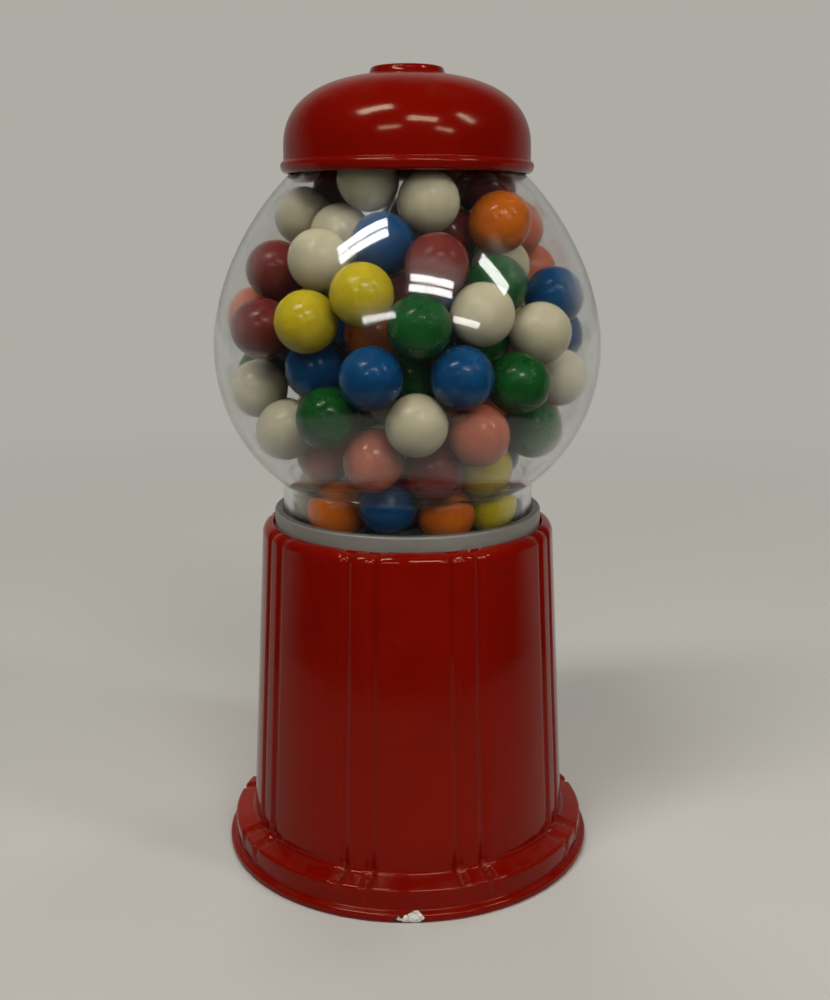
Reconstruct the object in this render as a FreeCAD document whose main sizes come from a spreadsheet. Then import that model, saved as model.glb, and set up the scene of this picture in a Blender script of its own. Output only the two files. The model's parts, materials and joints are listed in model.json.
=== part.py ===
import FreeCAD, Part
import math
import os

import Sketcher

# A small table-top gumball machine, in millimetres. The origin is the centre of the foot's underside,
# +Z is up, and the coin mechanism faces -Y.

SIZES = {
    # red base casting
    "foot_lip_radius": 52.6,
    "foot_lip_height": 2.6,
    "foot_radius": 50.9,
    "foot_height": 8.7,
    "foot_top_rise": 0.8,
    "body_foot_radius": 45.35,
    "body_top_radius": 40.65,
    "base_height": 95.4,
    "shell_wall": 2.0,
    "shoulder_radius": 3.0,
    "lip_edge_radius": 1.0,
    "mouth_gap": 0.5,
    # ribs between the wide panels, counted from the middle of the back
    "rear_rib_angle": 19.7,
    "rib_pitch_angle": 43.5,
    "groove_angle": 4.8,
    "groove_radius": 1.2,
    "groove_depth": 0.9,
    # flat pad and windows for the mechanism
    "pad_half_width": 21.0,
    "pad_front": 44.0,
    "pad_depth": 9.0,
    "pad_bottom": 10.2,
    "window_half_width": 18.2,
    "window_half_height": 17.4,
    # frosted seat ring
    "ring_radius": 37.2,
    "ring_rise": 3.8,
    "ring_rabbet": 6.8,
    "ring_inner_radius": 31.8,
    "ring_chamfer": 0.7,
    # globe
    "globe_radius": 52.4,
    "globe_wall": 2.2,
    "globe_middle_rise": 44.8,
    "globe_lower_height": 48.0,
    "globe_upper_height": 60.5,
    "neck_radius": 34.7,
    "collar_radius": 29.5,
    "collar_top": 5.6,
    "fit_gap": 0.3,
    # lid
    "lid_radius": 32.6,
    "lid_rim_radius": 33.4,
    "lid_rim_height": 3.2,
    "lid_skirt_height": 5.7,
    "lid_dome_height": 19.6,
    "lid_wall": 1.6,
    "lid_boss_radius": 10.2,
    "lid_boss_top_radius": 8.8,
    "lid_boss_height": 1.6,
    "lid_seat_gap": 0.25,
    # gumballs
    "ball_radius": 7.85,
    "ball_gap": 0.12,
    "fill_room": 1.2,
    # ball wheel and hopper
    "wheel_radius": 31.2,
    "wheel_height": 15.7,
    "pocket_radius": 8.6,
    "pocket_inset": 9.7,
    "baffle_gap": 0.4,
    "baffle_thickness": 1.0,
    "baffle_angle": 52.0,
    "running_gap": 0.3,
    "hopper_floor": 2.4,
    "hopper_wall": 1.8,
    "hopper_gap": 0.4,
    "flange_rise": 8.0,
    "flange_thickness": 3.0,
    "ledge_thickness": 2.0,
    "drop_radius": 9.0,
    "hub_radius": 5.0,
    "hub_tip_radius": 3.0,
    "hub_pilot_depth": 9.0,
    "wheel_screw_head_radius": 3.6,
    "boss_radius": 8.0,
    "boss_drop": 4.5,
    "bearing_gap": 0.05,
    # gears
    "gear_module": 1.0,
    "pinion_teeth": 8,
    "crown_teeth": 24,
    "crown_face": 2.8,
    "gear_disc": 3.0,
    "tooth_half_width": 0.42,
    "tooth_flare": 0.25,
    "tooth_addendum": 0.9,
    "tooth_dedendum": 1.2,
    # shaft line
    "shaft_radius": 2.5,
    "shaft_tip_radius": 1.8,
    "shaft_pilot_depth": 10.4,
    "bracket_thickness": 2.5,
    "bracket_half_width": 8.0,
    "bracket_gap": 1.2,
    "bracket_foot": 10.0,
    "bracket_foot_thickness": 2.0,
    "clip_thickness": 0.8,
    "clip_radius": 3.2,
    "bush_radius": 4.0,
    "bush_flange_radius": 5.6,
    "bush_flange": 0.8,
    # coin track and ratchet
    "coin_radius": 9.0,
    "coin_slot_width": 2.4,
    "coin_room": 0.5,
    "coin_x": 15.4,
    "track_sheet": 1.0,
    "track_length": 20.0,
    "track_fall": 5.0,
    "track_flange": 5.6,
    "track_flange_thickness": 1.5,
    "ratchet_radius": 8.0,
    "ratchet_tooth": 1.5,
    "ratchet_teeth": 12,
    "ratchet_thickness": 2.0,
    "spring_thickness": 0.4,
    "spring_width": 1.6,
    # front plate, handle and flap
    "plate_thickness": 2.5,
    "plate_margin": 0.6,
    "plate_corner": 6.0,
    "screw_inset": 4.6,
    "slot_boss_margin": 1.2,
    "slot_boss_height": 1.4,
    "dial_radius": 13.4,
    "dial_height": 0.7,
    "handle_disc_radius": 10.4,
    "handle_disc_height": 2.0,
    "handle_half_length": 11.8,
    "handle_half_width": 3.4,
    "handle_height": 5.2,
    "handle_rounding": 1.3,
    "mouth_half_width": 9.6,
    "mouth_height": 18.6,
    "flap_thickness": 1.3,
    "flap_barrel_radius": 2.0,
    "flap_pin_radius": 1.0,
    "flap_overlap": 1.5,
    "ear_thickness": 1.8,
    "lip_depth": 6.6,
    "lip_thickness": 1.7,
    # ball chute
    "chute_half_width": 9.25,
    "chute_wall": 1.5,
    "chute_front_floor": 13.4,
    "chute_fall": 28.5,
    "chute_side_height": 9.0,
    "chute_flange_thickness": 2.0,
    # bottom plate and coin plug
    "plate_recess": 1.6,
    "bottom_plate_thickness": 1.6,
    "post_radius": 3.2,
    "post_inset": 3.9,
    "plug_radius": 10.0,
    "plug_flange": 1.5,
    "plug_depth": 5.0,
    "plug_wall": 1.8,
    "plug_x": 24.0,
    "plug_y": 4.0,
    # screws
    "screw_radius": 1.25,
    "screw_head_radius": 2.3,
    "screw_head_height": 1.3,
    "small_screw_radius": 1.0,
    "small_head_radius": 1.8,
    "small_head_height": 1.1,
    "screw_slot": 0.6,
    "thread_gap": 0.05,
    "hole_gap": 0.2,
}

doc = FreeCAD.newDocument("gumball_machine")
sheet = doc.addObject("Spreadsheet::Sheet", "sizes")
nodes = {}


class Dim:
    """A size: its number now, and the expression that keeps it true when the sheet changes."""

    def __init__(self, text, value):
        self.text = text
        self.value = value

    def __add__(self, other):
        return combine(self, "+", other)

    def __radd__(self, other):
        return combine(other, "+", self)

    def __sub__(self, other):
        return combine(self, "-", other)

    def __rsub__(self, other):
        return combine(other, "-", self)

    def __mul__(self, other):
        return combine(self, "*", other)

    def __rmul__(self, other):
        return combine(other, "*", self)

    def __truediv__(self, other):
        return combine(self, "/", other)

    def __rtruediv__(self, other):
        return combine(other, "/", self)

    def __neg__(self):
        return Dim("(-%s)" % self.text, -self.value)


def as_dim(size):
    """A plain number as a size."""
    if isinstance(size, Dim):
        return size
    return Dim("(%r)" % float(size), float(size))


def combine(left, sign, right):
    """Two sizes joined by an arithmetic sign."""
    left = as_dim(left)
    right = as_dim(right)
    if sign == "+":
        value = left.value + right.value
    elif sign == "-":
        value = left.value - right.value
    elif sign == "*":
        value = left.value * right.value
    else:
        value = left.value / right.value
    return Dim("(%s %s %s)" % (left.text, sign, right.text), value)


def sine(angle):
    angle = as_dim(angle)
    return Dim("sin(%s)" % angle.text, math.sin(math.radians(angle.value)))


def cosine(angle):
    angle = as_dim(angle)
    return Dim("cos(%s)" % angle.text, math.cos(math.radians(angle.value)))


def lean_of(across, up):
    """The angle, in degrees, of a line that moves across while it climbs."""
    ratio = as_dim(across) / up
    return Dim("(atan(%s) / 1 deg)" % ratio.text, math.degrees(math.atan(ratio.value)))


class Sizes:
    """The sheet's cells by name."""

    def __init__(self):
        for row, (name, value) in enumerate(SIZES.items(), start=1):
            sheet.set("A%d" % row, name)
            sheet.set("B%d" % row, str(value))
            sheet.setAlias("B%d" % row, name)
            setattr(self, name, Dim("sizes.%s" % name, float(value)))


size = Sizes()
doc.recompute()

UPWARD = (0, 0, 0)
FORWARD = (0, 0, 90)
BACKWARD = (0, 0, -90)
SIDEWAYS = (0, 90, 0)
CUT_SPARE = 1.0
FACE_TOLERANCE = 0.01


def bind(thing, prop, value):
    thing.setExpression(prop, as_dim(value).text)


def place(thing, at, turn=UPWARD):
    """Put a thing at a point, turned by yaw, pitch and roll in degrees."""
    base = "; ".join(as_dim(value).text for value in at)
    angles = "; ".join(as_dim(value).text for value in turn)
    thing.setExpression("Placement", "placement(vector(%s); rotation(%s))" % (base, angles))


def block(name, x, y, z):
    """A box; x, y and z are each a pair of limits."""
    box = doc.addObject("Part::Box", name)
    bind(box, "Length", x[1] - x[0])
    bind(box, "Width", y[1] - y[0])
    bind(box, "Height", z[1] - z[0])
    place(box, (x[0], y[0], z[0]))
    return box


def both_sides(half):
    return (-as_dim(half), as_dim(half))


def rod(name, radius, start, length, turn=UPWARD):
    """A cylinder from a start point, upward unless it is turned."""
    cylinder = doc.addObject("Part::Cylinder", name)
    bind(cylinder, "Radius", radius)
    bind(cylinder, "Height", length)
    place(cylinder, start, turn)
    return cylinder


def fuse(name, things):
    joined = doc.addObject("Part::MultiFuse", name)
    joined.Shapes = things
    joined.Refine = True
    return joined


def cut(name, base, tools):
    """A solid less one tool or several."""
    less = doc.addObject("Part::Cut", name)
    less.Base = base
    less.Tool = tools[0] if len(tools) == 1 else fuse(name + "_tools", tools)
    less.Refine = True
    return less


def group(name, things):
    """Separate solids that share one node."""
    together = doc.addObject("Part::Compound", name)
    together.Links = things
    return together


def tube(name, outer, inner, start, length, turn=UPWARD):
    """A ring, whose bore runs right through."""
    bore_start = list(start)
    if turn == UPWARD:
        bore_start[2] = start[2] - CUT_SPARE
    elif turn == FORWARD:
        bore_start[1] = start[1] + CUT_SPARE
    else:
        bore_start[0] = start[0] - CUT_SPARE
    outside = rod(name + "_outside", outer, start, length, turn)
    bore = rod(name + "_bore", inner, bore_start, length + 2 * CUT_SPARE, turn)
    return cut(name, outside, [bore])


def node(label, thing):
    """Name a finished sub-part."""
    thing.Label = label
    nodes[label] = thing
    return thing


def new_body(name):
    return doc.addObject("PartDesign::Body", name)


def origin_part(body, role):
    for feature in body.Origin.OriginFeatures:
        if feature.Role == role:
            return feature
    raise ValueError("no %s" % role)


def arc_between(start, end, radius):
    """A short arc of a radius between two points, bulging to the right of the way, or left if negative."""
    chord = end - start
    half = chord.Length / 2
    reach = math.sqrt(max(radius * radius - half * half, 0.0))
    left = FreeCAD.Vector(-chord.y, chord.x, 0).normalize()
    side = 1 if radius > 0 else -1
    centre = (start + end) * 0.5 + left * (side * reach)
    circle = Part.Circle(centre, FreeCAD.Vector(0, 0, 1), abs(radius))
    first, last = (start, end) if side > 0 else (end, start)
    angle_first = math.atan2(first.y - centre.y, first.x - centre.x)
    angle_last = math.atan2(last.y - centre.y, last.x - centre.x)
    return Part.ArcOfCircle(circle, angle_first, angle_last)


def outline(body, plane, corners, offset=0):
    """A closed sketch. A corner is (across, up), or (across, up, radius) where an arc arrives at it."""
    sketch = body.newObject("Sketcher::SketchObject", body.Name + "_outline")
    sketch.AttachmentSupport = [(origin_part(body, plane), "")]
    sketch.MapMode = "FlatFace"
    bind(sketch, "AttachmentOffset.Base.z", offset)
    count = len(corners)
    points = [FreeCAD.Vector(as_dim(c[0]).value, as_dim(c[1]).value, 0) for c in corners]
    ends = []
    for index in range(count):
        goal = corners[(index + 1) % count]
        start = points[index]
        end = points[(index + 1) % count]
        if len(goal) == 3:
            radius = as_dim(goal[2])
            curve = sketch.addGeometry(arc_between(start, end, radius.value), False)
            ends.append((1, 2) if radius.value > 0 else (2, 1))
            row = sketch.addConstraint(Sketcher.Constraint("Radius", curve, abs(radius.value)))
            sketch.renameConstraint(row, "radius%d" % index)
            bind(sketch, "Constraints.radius%d" % index, radius if radius.value > 0 else -radius)
        else:
            sketch.addGeometry(Part.LineSegment(start, end), False)
            ends.append((1, 2))
    for index in range(count):
        after = (index + 1) % count
        joint = Sketcher.Constraint("Coincident", index, ends[index][1], after, ends[after][0])
        sketch.addConstraint(joint)
    for index, corner in enumerate(corners):
        for kind, axis, value in (("DistanceX", -2, corner[0]), ("DistanceY", -1, corner[1])):
            value = as_dim(value)
            if value.value == 0:
                pin = Sketcher.Constraint("PointOnObject", index, ends[index][0], axis)
                sketch.addConstraint(pin)
                continue
            pin = Sketcher.Constraint(kind, -1, 1, index, ends[index][0], value.value)
            row = sketch.addConstraint(pin)
            sketch.renameConstraint(row, "%s%d" % (kind, index))
            bind(sketch, "Constraints.%s%d" % (kind, index), value)
    return sketch


def revolved(name, corners):
    """A turned solid from its outline of radius and height."""
    body = new_body(name)
    turned = body.newObject("PartDesign::Revolution", name + "_turned")
    turned.Profile = outline(body, "XZ_Plane", corners)
    turned.ReferenceAxis = (turned.Profile[0], ["V_Axis"])
    turned.Angle = 360
    return body


def padded(body, plane, corners, length, offset=0):
    """An outline raised from a plane of the body, after an offset along the plane's normal."""
    pad = body.newObject("PartDesign::Pad", body.Name + "_pad")
    pad.Profile = outline(body, plane, corners, offset)
    bind(pad, "Length", length)
    return pad


def repeated(body, feature, axis, count):
    """A feature repeated all the way round an axis of its body."""
    pattern = body.newObject("PartDesign::PolarPattern", body.Name + "_round")
    pattern.Originals = [feature]
    pattern.Axis = (origin_part(body, axis), [""])
    pattern.Angle = 360
    bind(pattern, "Occurrences", count)
    body.Tip = pattern
    return pattern


def rounded_rectangle(x, y, radius):
    """A rectangle with four round corners."""
    return [
        (x[0] + radius, y[0], radius),
        (x[1] - radius, y[0]),
        (x[1], y[0] + radius, radius),
        (x[1], y[1] - radius),
        (x[1] - radius, y[1], radius),
        (x[0] + radius, y[1]),
        (x[0], y[1] - radius, radius),
        (x[0], y[0] + radius),
    ]


def turned_point(radius, angle):
    """A point on a circle, by its angle from the middle of the back towards +X."""
    return as_dim(radius) * sine(angle), as_dim(radius) * cosine(angle)


def slotted_screw(name, shank, head, head_height, length, at, turn=UPWARD):
    """A pan head screw, whose shank starts at a point and whose head lies before it, with a slot."""
    head_start = list(at)
    slot_at = list(at)
    slot_depth = head_height / 2
    if turn == UPWARD:
        head_start[2] = at[2] - head_height
        slot_at = [at[0] - head, at[1] - size.screw_slot / 2, head_start[2] - CUT_SPARE]
        extent = (2 * head, size.screw_slot, slot_depth + CUT_SPARE)
    else:
        toward = 1 if turn == FORWARD else -1
        head_start[1] = at[1] + toward * head_height
        low = head_start[1] - slot_depth if toward > 0 else head_start[1] - CUT_SPARE
        slot_at = [at[0] - head, low, at[2] - size.screw_slot / 2]
        extent = (2 * head, slot_depth + CUT_SPARE, size.screw_slot)
    limits = [(slot_at[i], slot_at[i] + extent[i]) for i in range(3)]
    slot = block(name + "_slot", *limits)
    stem = rod(name + "_shank", shank, at, length, turn)
    cap = rod(name + "_head", head, head_start, head_height, turn)
    return cut(name, fuse(name + "_blank", [stem, cap]), [slot])


# Levels of the stack from the ring down to the drive shaft.
ring_top = size.base_height + size.ring_rise
seat_level = ring_top - size.ring_rabbet
neck_level = seat_level + size.baffle_thickness
wheel_top = seat_level - size.baffle_gap
wheel_bottom = wheel_top - size.wheel_height
floor_top = wheel_bottom - size.running_gap
floor_bottom = floor_top - size.hopper_floor
flange_bottom = floor_top + size.flange_rise
flange_top = flange_bottom + size.flange_thickness
ledge_bottom = flange_bottom - size.ledge_thickness
boss_bottom = floor_bottom - size.boss_drop
gear_top = boss_bottom - size.running_gap
tooth_root = gear_top - size.gear_disc
pitch_level = tooth_root - size.tooth_dedendum
pinion_radius = size.gear_module * size.pinion_teeth / 2
crown_radius = size.gear_module * size.crown_teeth / 2
shaft_level = pitch_level - pinion_radius

# Radii inside the hopper, and the places of its screws.
hopper_inner = size.wheel_radius + size.hopper_gap
pocket_circle = size.wheel_radius - size.pocket_inset
hopper_outer = hopper_inner + size.hopper_wall
ledge_radius = hopper_outer + size.hopper_gap
hopper_screw_circle = (ledge_radius + size.ring_radius) / 2
HOPPER_SCREW_ANGLES = (0, 120, 240)
POCKET_ANGLES = (0, 120, 240)

# Distances of the mechanism's pieces in front of the axis.
plate_front = size.pad_front + size.plate_thickness
pad_back = size.pad_front - size.pad_depth
ratchet_face = size.pad_front - size.coin_room
ratchet_back = ratchet_face - size.ratchet_thickness
crown_outer = crown_radius + size.crown_face / 2
crown_inner = crown_radius - size.crown_face / 2
bracket_back = crown_outer + size.bracket_gap
bracket_front = bracket_back + size.bracket_thickness
pinion_front = crown_outer + size.running_gap
pinion_back = crown_inner - size.running_gap
clip_front = pinion_back - size.running_gap / 2
clip_back = clip_front - size.clip_thickness
shaft_tip = clip_back - size.clip_thickness
handle_back = plate_front + size.bush_flange + size.running_gap
handle_disc_front = handle_back + size.handle_disc_height
handle_front = handle_disc_front + size.handle_height
shaft_front = handle_disc_front + size.handle_height / 2
handle_screw_seat = handle_front - size.small_head_height - size.running_gap

# Levels of the bottom plate, the windows and the ball mouth.
bottom_plate_top = size.plate_recess + size.bottom_plate_thickness
foot_inner = size.foot_radius - size.shell_wall
foot_ceiling = size.foot_height - size.shell_wall
body_foot_level = size.foot_height + size.foot_top_rise
post_circle = foot_inner - size.post_inset
POST_ANGLES = (45, 135, 225, 315)
pad_top = flange_bottom
window_bottom = shaft_level - size.window_half_height
window_top = shaft_level + size.window_half_height
chute_outer = size.chute_half_width + size.chute_wall
chute_window_half = chute_outer + size.fit_gap
mouth_bottom = size.chute_front_floor
mouth_top = mouth_bottom + size.mouth_height
chute_window_bottom = mouth_bottom - size.chute_wall - size.fit_gap
plate_bottom = size.pad_bottom + size.plate_margin
plate_top = pad_top - size.plate_margin
plate_half = size.pad_half_width - size.plate_margin
pin_level = mouth_top + size.flap_barrel_radius + size.running_gap
pin_front = plate_front + size.flap_barrel_radius + size.running_gap
body_slope = (size.body_foot_radius - size.body_top_radius) / (size.base_height - body_foot_level)
body_lean = lean_of(size.body_foot_radius - size.body_top_radius, size.base_height - body_foot_level)


def body_radius(level):
    """The outside radius of the body at a level."""
    return size.body_foot_radius - body_slope * (level - body_foot_level)


def make_base_shell():
    """Casting: foot, tapered body, shoulder, mouth and inner ledge, with the pad for the mechanism."""
    shoulder = size.base_height - size.shoulder_radius
    inside_ledge = body_radius(flange_bottom) - size.shell_wall
    inside_below = body_radius(ledge_bottom) - size.shell_wall
    roof = size.base_height - size.shell_wall
    inside_roof = body_radius(roof) - size.shell_wall
    mouth = size.ring_radius + size.mouth_gap
    edge = size.lip_edge_radius
    casting = revolved("base_casting", [
        (foot_inner, 0),
        (size.foot_lip_radius - edge, 0),
        (size.foot_lip_radius, edge, edge),
        (size.foot_lip_radius, size.foot_lip_height - edge),
        (size.foot_lip_radius - edge, size.foot_lip_height, edge),
        (size.foot_radius, size.foot_lip_height),
        (size.foot_radius, size.foot_height - edge),
        (size.foot_radius - edge, size.foot_height, edge),
        (size.body_foot_radius, body_foot_level),
        (body_radius(shoulder), shoulder),
        (body_radius(shoulder) - size.shoulder_radius, size.base_height, size.shoulder_radius),
        (mouth, size.base_height),
        (mouth, roof),
        (inside_roof, roof),
        (inside_ledge, flange_bottom),
        (ledge_radius, flange_bottom),
        (ledge_radius, ledge_bottom),
        (inside_below, ledge_bottom),
        (size.body_foot_radius - size.shell_wall, foot_ceiling),
        (foot_inner, foot_ceiling),
    ])
    pad_limits = (-size.pad_front, -pad_back)
    pad = block("front_pad", both_sides(size.pad_half_width), pad_limits, (size.pad_bottom, pad_top))
    solids = [casting, pad]
    tools = []
    for angle in POST_ANGLES:
        x, y = turned_point(post_circle, angle)
        height = foot_ceiling + size.shell_wall / 2 - bottom_plate_top
        solids.append(rod("post", size.post_radius, (x, y, bottom_plate_top), height))
        pilot = size.screw_radius + size.thread_gap
        tools.append(rod("post_pilot", pilot, (x, y, bottom_plate_top), foot_ceiling - bottom_plate_top))
    front_trim = (-size.foot_lip_radius, -size.pad_front)
    tools.append(block("pad_trim", both_sides(size.pad_half_width), front_trim, (size.pad_bottom, pad_top)))
    through = (-size.foot_lip_radius, -pad_back + CUT_SPARE)
    coin_window = (window_bottom, window_top)
    chute_window = (chute_window_bottom, mouth_top)
    tools.append(block("coin_window", both_sides(size.window_half_width), through, coin_window))
    tools.append(block("chute_window", both_sides(chute_window_half), through, chute_window))
    for x, z in faceplate_screw_places():
        pilot = size.screw_radius + size.thread_gap
        length = size.pad_front - pad_back - size.shell_wall
        tools.append(rod("pad_pilot", pilot, (x, -size.pad_front, z), length, BACKWARD))
    for angle in HOPPER_SCREW_ANGLES:
        x, y = turned_point(hopper_screw_circle, angle)
        hole = size.small_screw_radius + size.hole_gap
        start = (x, y, ledge_bottom - CUT_SPARE)
        tools.append(rod("ledge_hole", hole, start, size.ledge_thickness + 2 * CUT_SPARE))
    tools.extend(groove_cutters())
    node("base_shell", cut("base_shell", fuse("base_blank", solids), tools))


RIB_PAIRS = 4


def groove_cutters():
    """Round cutters for the two grooves beside each rib, down the body and over the foot."""
    cutters = []
    sunk = size.groove_radius - size.groove_depth
    low = body_foot_level - size.foot_top_rise
    length = (size.base_height - low) / cosine(body_lean) + size.groove_radius
    for side in (1, -1):
        for rank in range(RIB_PAIRS):
            rib = size.rear_rib_angle + rank * size.rib_pitch_angle
            for edge in (-1, 1):
                angle = side * (rib + edge * size.groove_angle)
                yaw = 90 - angle
                beside_pad = rank == RIB_PAIRS - 1 and edge == 1
                if not beside_pad:
                    x, y = turned_point(body_radius(low) + sunk, angle)
                    cutters.append(rod("body_groove", size.groove_radius, (x, y, low), length,
                                       (yaw, -body_lean, 0)))
                x, y = turned_point(size.foot_radius + sunk, angle)
                start = (x, y, size.foot_lip_height)
                rise = size.foot_height + size.foot_top_rise - size.foot_lip_height
                cutters.append(rod("foot_groove", size.groove_radius, start, rise))
    return cutters


def faceplate_screw_places():
    """The four corners where the front plate is screwed to the pad."""
    across = plate_half - size.screw_inset
    low = plate_bottom + size.screw_inset
    high = (window_top + pad_top) / 2
    return [(side * across, level) for side in (1, -1) for level in (low, high)]


def make_bottom_plate():
    """Plate that closes the coin bank, with its screws and the pull-out plug."""
    disc = rod("plate_disc", foot_inner - size.fit_gap, (0, 0, size.plate_recess),
               size.bottom_plate_thickness)
    holes = []
    screws = []
    through = size.bottom_plate_thickness + 2 * CUT_SPARE
    below = size.plate_recess - CUT_SPARE
    for angle in POST_ANGLES:
        x, y = turned_point(post_circle, angle)
        holes.append(rod("plate_hole", size.screw_radius + size.hole_gap, (x, y, below), through))
        length = foot_ceiling - size.plate_recess - size.running_gap
        screws.append(slotted_screw("bottom_screw", size.screw_radius, size.screw_head_radius,
                                    size.screw_head_height, length, (x, y, size.plate_recess)))
    plug_place = (-size.plug_x, size.plug_y, below)
    holes.append(rod("plug_hole", size.plug_radius + size.bearing_gap, plug_place, through))
    node("bottom_plate", cut("bottom_plate", disc, holes))
    node("bottom_screws", group("bottom_screws", screws))
    top = bottom_plate_top + size.plug_depth
    low = size.plate_recess - size.bearing_gap - size.screw_head_height
    seat = size.plate_recess - size.bearing_gap
    plug = revolved("coin_plug", [
        (0, top - size.plug_wall),
        (size.plug_radius - size.plug_wall, top - size.plug_wall),
        (size.plug_radius - size.plug_wall, low),
        (size.plug_radius + size.plug_flange, low),
        (size.plug_radius + size.plug_flange, seat),
        (size.plug_radius, seat),
        (size.plug_radius, top),
        (0, top),
    ])
    place(plug, (-size.plug_x, size.plug_y, 0))
    node("coin_plug", plug)


def make_hopper():
    """Pan for the ball wheel, hung by its flange on the casting's ledge."""
    bore = size.hub_radius + size.bearing_gap
    pan = revolved("hopper_pan", [
        (bore, boss_bottom),
        (size.boss_radius, boss_bottom),
        (size.boss_radius, floor_bottom),
        (hopper_outer, floor_bottom),
        (hopper_outer, flange_bottom),
        (size.ring_radius, flange_bottom),
        (size.ring_radius, flange_top),
        (hopper_inner, flange_top),
        (hopper_inner, floor_top),
        (bore, floor_top),
    ])
    drop = (0, pocket_circle, floor_bottom - CUT_SPARE)
    holes = [rod("drop_hole", size.drop_radius, drop, size.hopper_floor + 2 * CUT_SPARE)]
    screws = []
    pilot = size.small_screw_radius + size.thread_gap
    for angle in HOPPER_SCREW_ANGLES:
        x, y = turned_point(hopper_screw_circle, angle)
        depth = size.flange_thickness - size.running_gap
        holes.append(rod("flange_pilot", pilot, (x, y, flange_bottom), depth))
        length = size.ledge_thickness + depth - size.running_gap
        screws.append(slotted_screw("hopper_screw", size.small_screw_radius, size.small_head_radius,
                                    size.small_head_height, length, (x, y, ledge_bottom)))
    for x, y in bracket_screw_places() + chute_screw_places():
        depth = size.hopper_floor - size.running_gap
        holes.append(rod("floor_pilot", pilot, (x, y, floor_bottom), depth))
    node("hopper", cut("hopper", pan, holes))
    node("hopper_screws", group("hopper_screws", screws))


def make_seat_ring():
    """Frosted ring in the casting's mouth that takes the globe's neck."""
    rabbet = size.neck_radius + size.fit_gap
    chamfer = size.ring_chamfer
    node("globe_seat_ring", revolved("globe_seat_ring", [
        (size.ring_inner_radius, flange_top),
        (size.ring_radius, flange_top),
        (size.ring_radius, ring_top - chamfer),
        (size.ring_radius - chamfer, ring_top),
        (rabbet, ring_top),
        (rabbet, seat_level),
        (size.ring_inner_radius, seat_level),
    ]))


def make_baffle():
    """Thin ring under the globe's neck, with a cover over the pocket that empties."""
    inner = size.neck_radius - size.globe_wall - size.fit_gap
    ring = tube("baffle_ring", size.neck_radius, inner, (0, 0, seat_level), size.baffle_thickness)
    reach = inner + size.fit_gap
    cover = rod("baffle_cover", reach, (0, 0, seat_level), size.baffle_thickness,
                (90 - size.baffle_angle / 2, 0, 0))
    bind(cover, "Angle", size.baffle_angle)
    inside = pocket_circle - size.pocket_radius - size.ball_gap
    clear = rod("baffle_clear", inside, (0, 0, seat_level - CUT_SPARE), size.baffle_thickness + 2 * CUT_SPARE)
    trimmed = cut("baffle_sector", cover, [clear])
    node("ball_baffle", fuse("ball_baffle", [ring, trimmed]))


def make_ball_wheel():
    """Wheel with three pockets on a hub that passes down through the hopper."""
    disc = rod("wheel_disc", size.wheel_radius, (0, 0, wheel_bottom), size.wheel_height)
    hub = rod("wheel_hub", size.hub_radius, (0, 0, gear_top), wheel_bottom - gear_top)
    tip = rod("wheel_tip", size.hub_tip_radius, (0, 0, tooth_root), size.gear_disc)
    holes = []
    balls = []
    for angle in POCKET_ANGLES:
        x, y = turned_point(pocket_circle, angle)
        start = (x, y, wheel_bottom - CUT_SPARE)
        holes.append(rod("pocket", size.pocket_radius, start, size.wheel_height + 2 * CUT_SPARE))
        over_drop = angle == POCKET_ANGLES[0]
        if not over_drop:
            ball = doc.addObject("Part::Sphere", "pocket_ball")
            bind(ball, "Radius", size.ball_radius)
            place(ball, (x, y, floor_top + size.running_gap / 2 + size.ball_radius))
            balls.append(ball)
    depth = size.hub_pilot_depth
    holes.append(rod("hub_pilot", size.screw_radius + size.thread_gap, (0, 0, tooth_root), depth))
    node("dispensing_wheel", cut("dispensing_wheel", fuse("wheel_blank", [disc, hub, tip]), holes))
    node("pocket_gumballs", group("pocket_gumballs", balls))
    node("wheel_screw", slotted_screw("wheel_screw", size.screw_radius, size.wheel_screw_head_radius,
                                      size.screw_head_height, depth - size.running_gap, (0, 0, tooth_root)))


def make_crown_gear():
    """Disc under the hub with a ring of teeth that point down."""
    body = revolved("crown_gear", [
        (size.hub_tip_radius + size.bearing_gap, tooth_root),
        (crown_outer, tooth_root),
        (crown_outer, gear_top),
        (size.hub_tip_radius + size.bearing_gap, gear_top),
    ])
    wide = size.tooth_half_width + size.tooth_flare * size.tooth_dedendum
    narrow = size.tooth_half_width - size.tooth_flare * size.tooth_addendum
    tip = pitch_level - size.tooth_addendum
    tooth = padded(body, "XZ_Plane", [
        (-narrow, tip),
        (narrow, tip),
        (wide, tooth_root),
        (wide, tooth_root + size.running_gap),
        (-wide, tooth_root + size.running_gap),
        (-wide, tooth_root),
    ], size.crown_face, crown_inner)
    repeated(body, tooth, "Z_Axis", size.crown_teeth)
    node("crown_gear", body)


def circle_pad(body, plane, radius, length, offset):
    """A round disc on a plane of the body, about the body's own axis."""
    pad = body.newObject("PartDesign::Pad", body.Name + "_disc")
    sketch = body.newObject("Sketcher::SketchObject", body.Name + "_circle")
    sketch.AttachmentSupport = [(origin_part(body, plane), "")]
    sketch.MapMode = "FlatFace"
    bind(sketch, "AttachmentOffset.Base.z", offset)
    centre = FreeCAD.Vector(0, 0, 0)
    ring = sketch.addGeometry(Part.Circle(centre, FreeCAD.Vector(0, 0, 1), as_dim(radius).value), False)
    sketch.addConstraint(Sketcher.Constraint("Coincident", ring, 3, -1, 1))
    row = sketch.addConstraint(Sketcher.Constraint("Radius", ring, as_dim(radius).value))
    sketch.renameConstraint(row, "radius")
    bind(sketch, "Constraints.radius", radius)
    pad.Profile = sketch
    bind(pad, "Length", length)
    return pad


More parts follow.
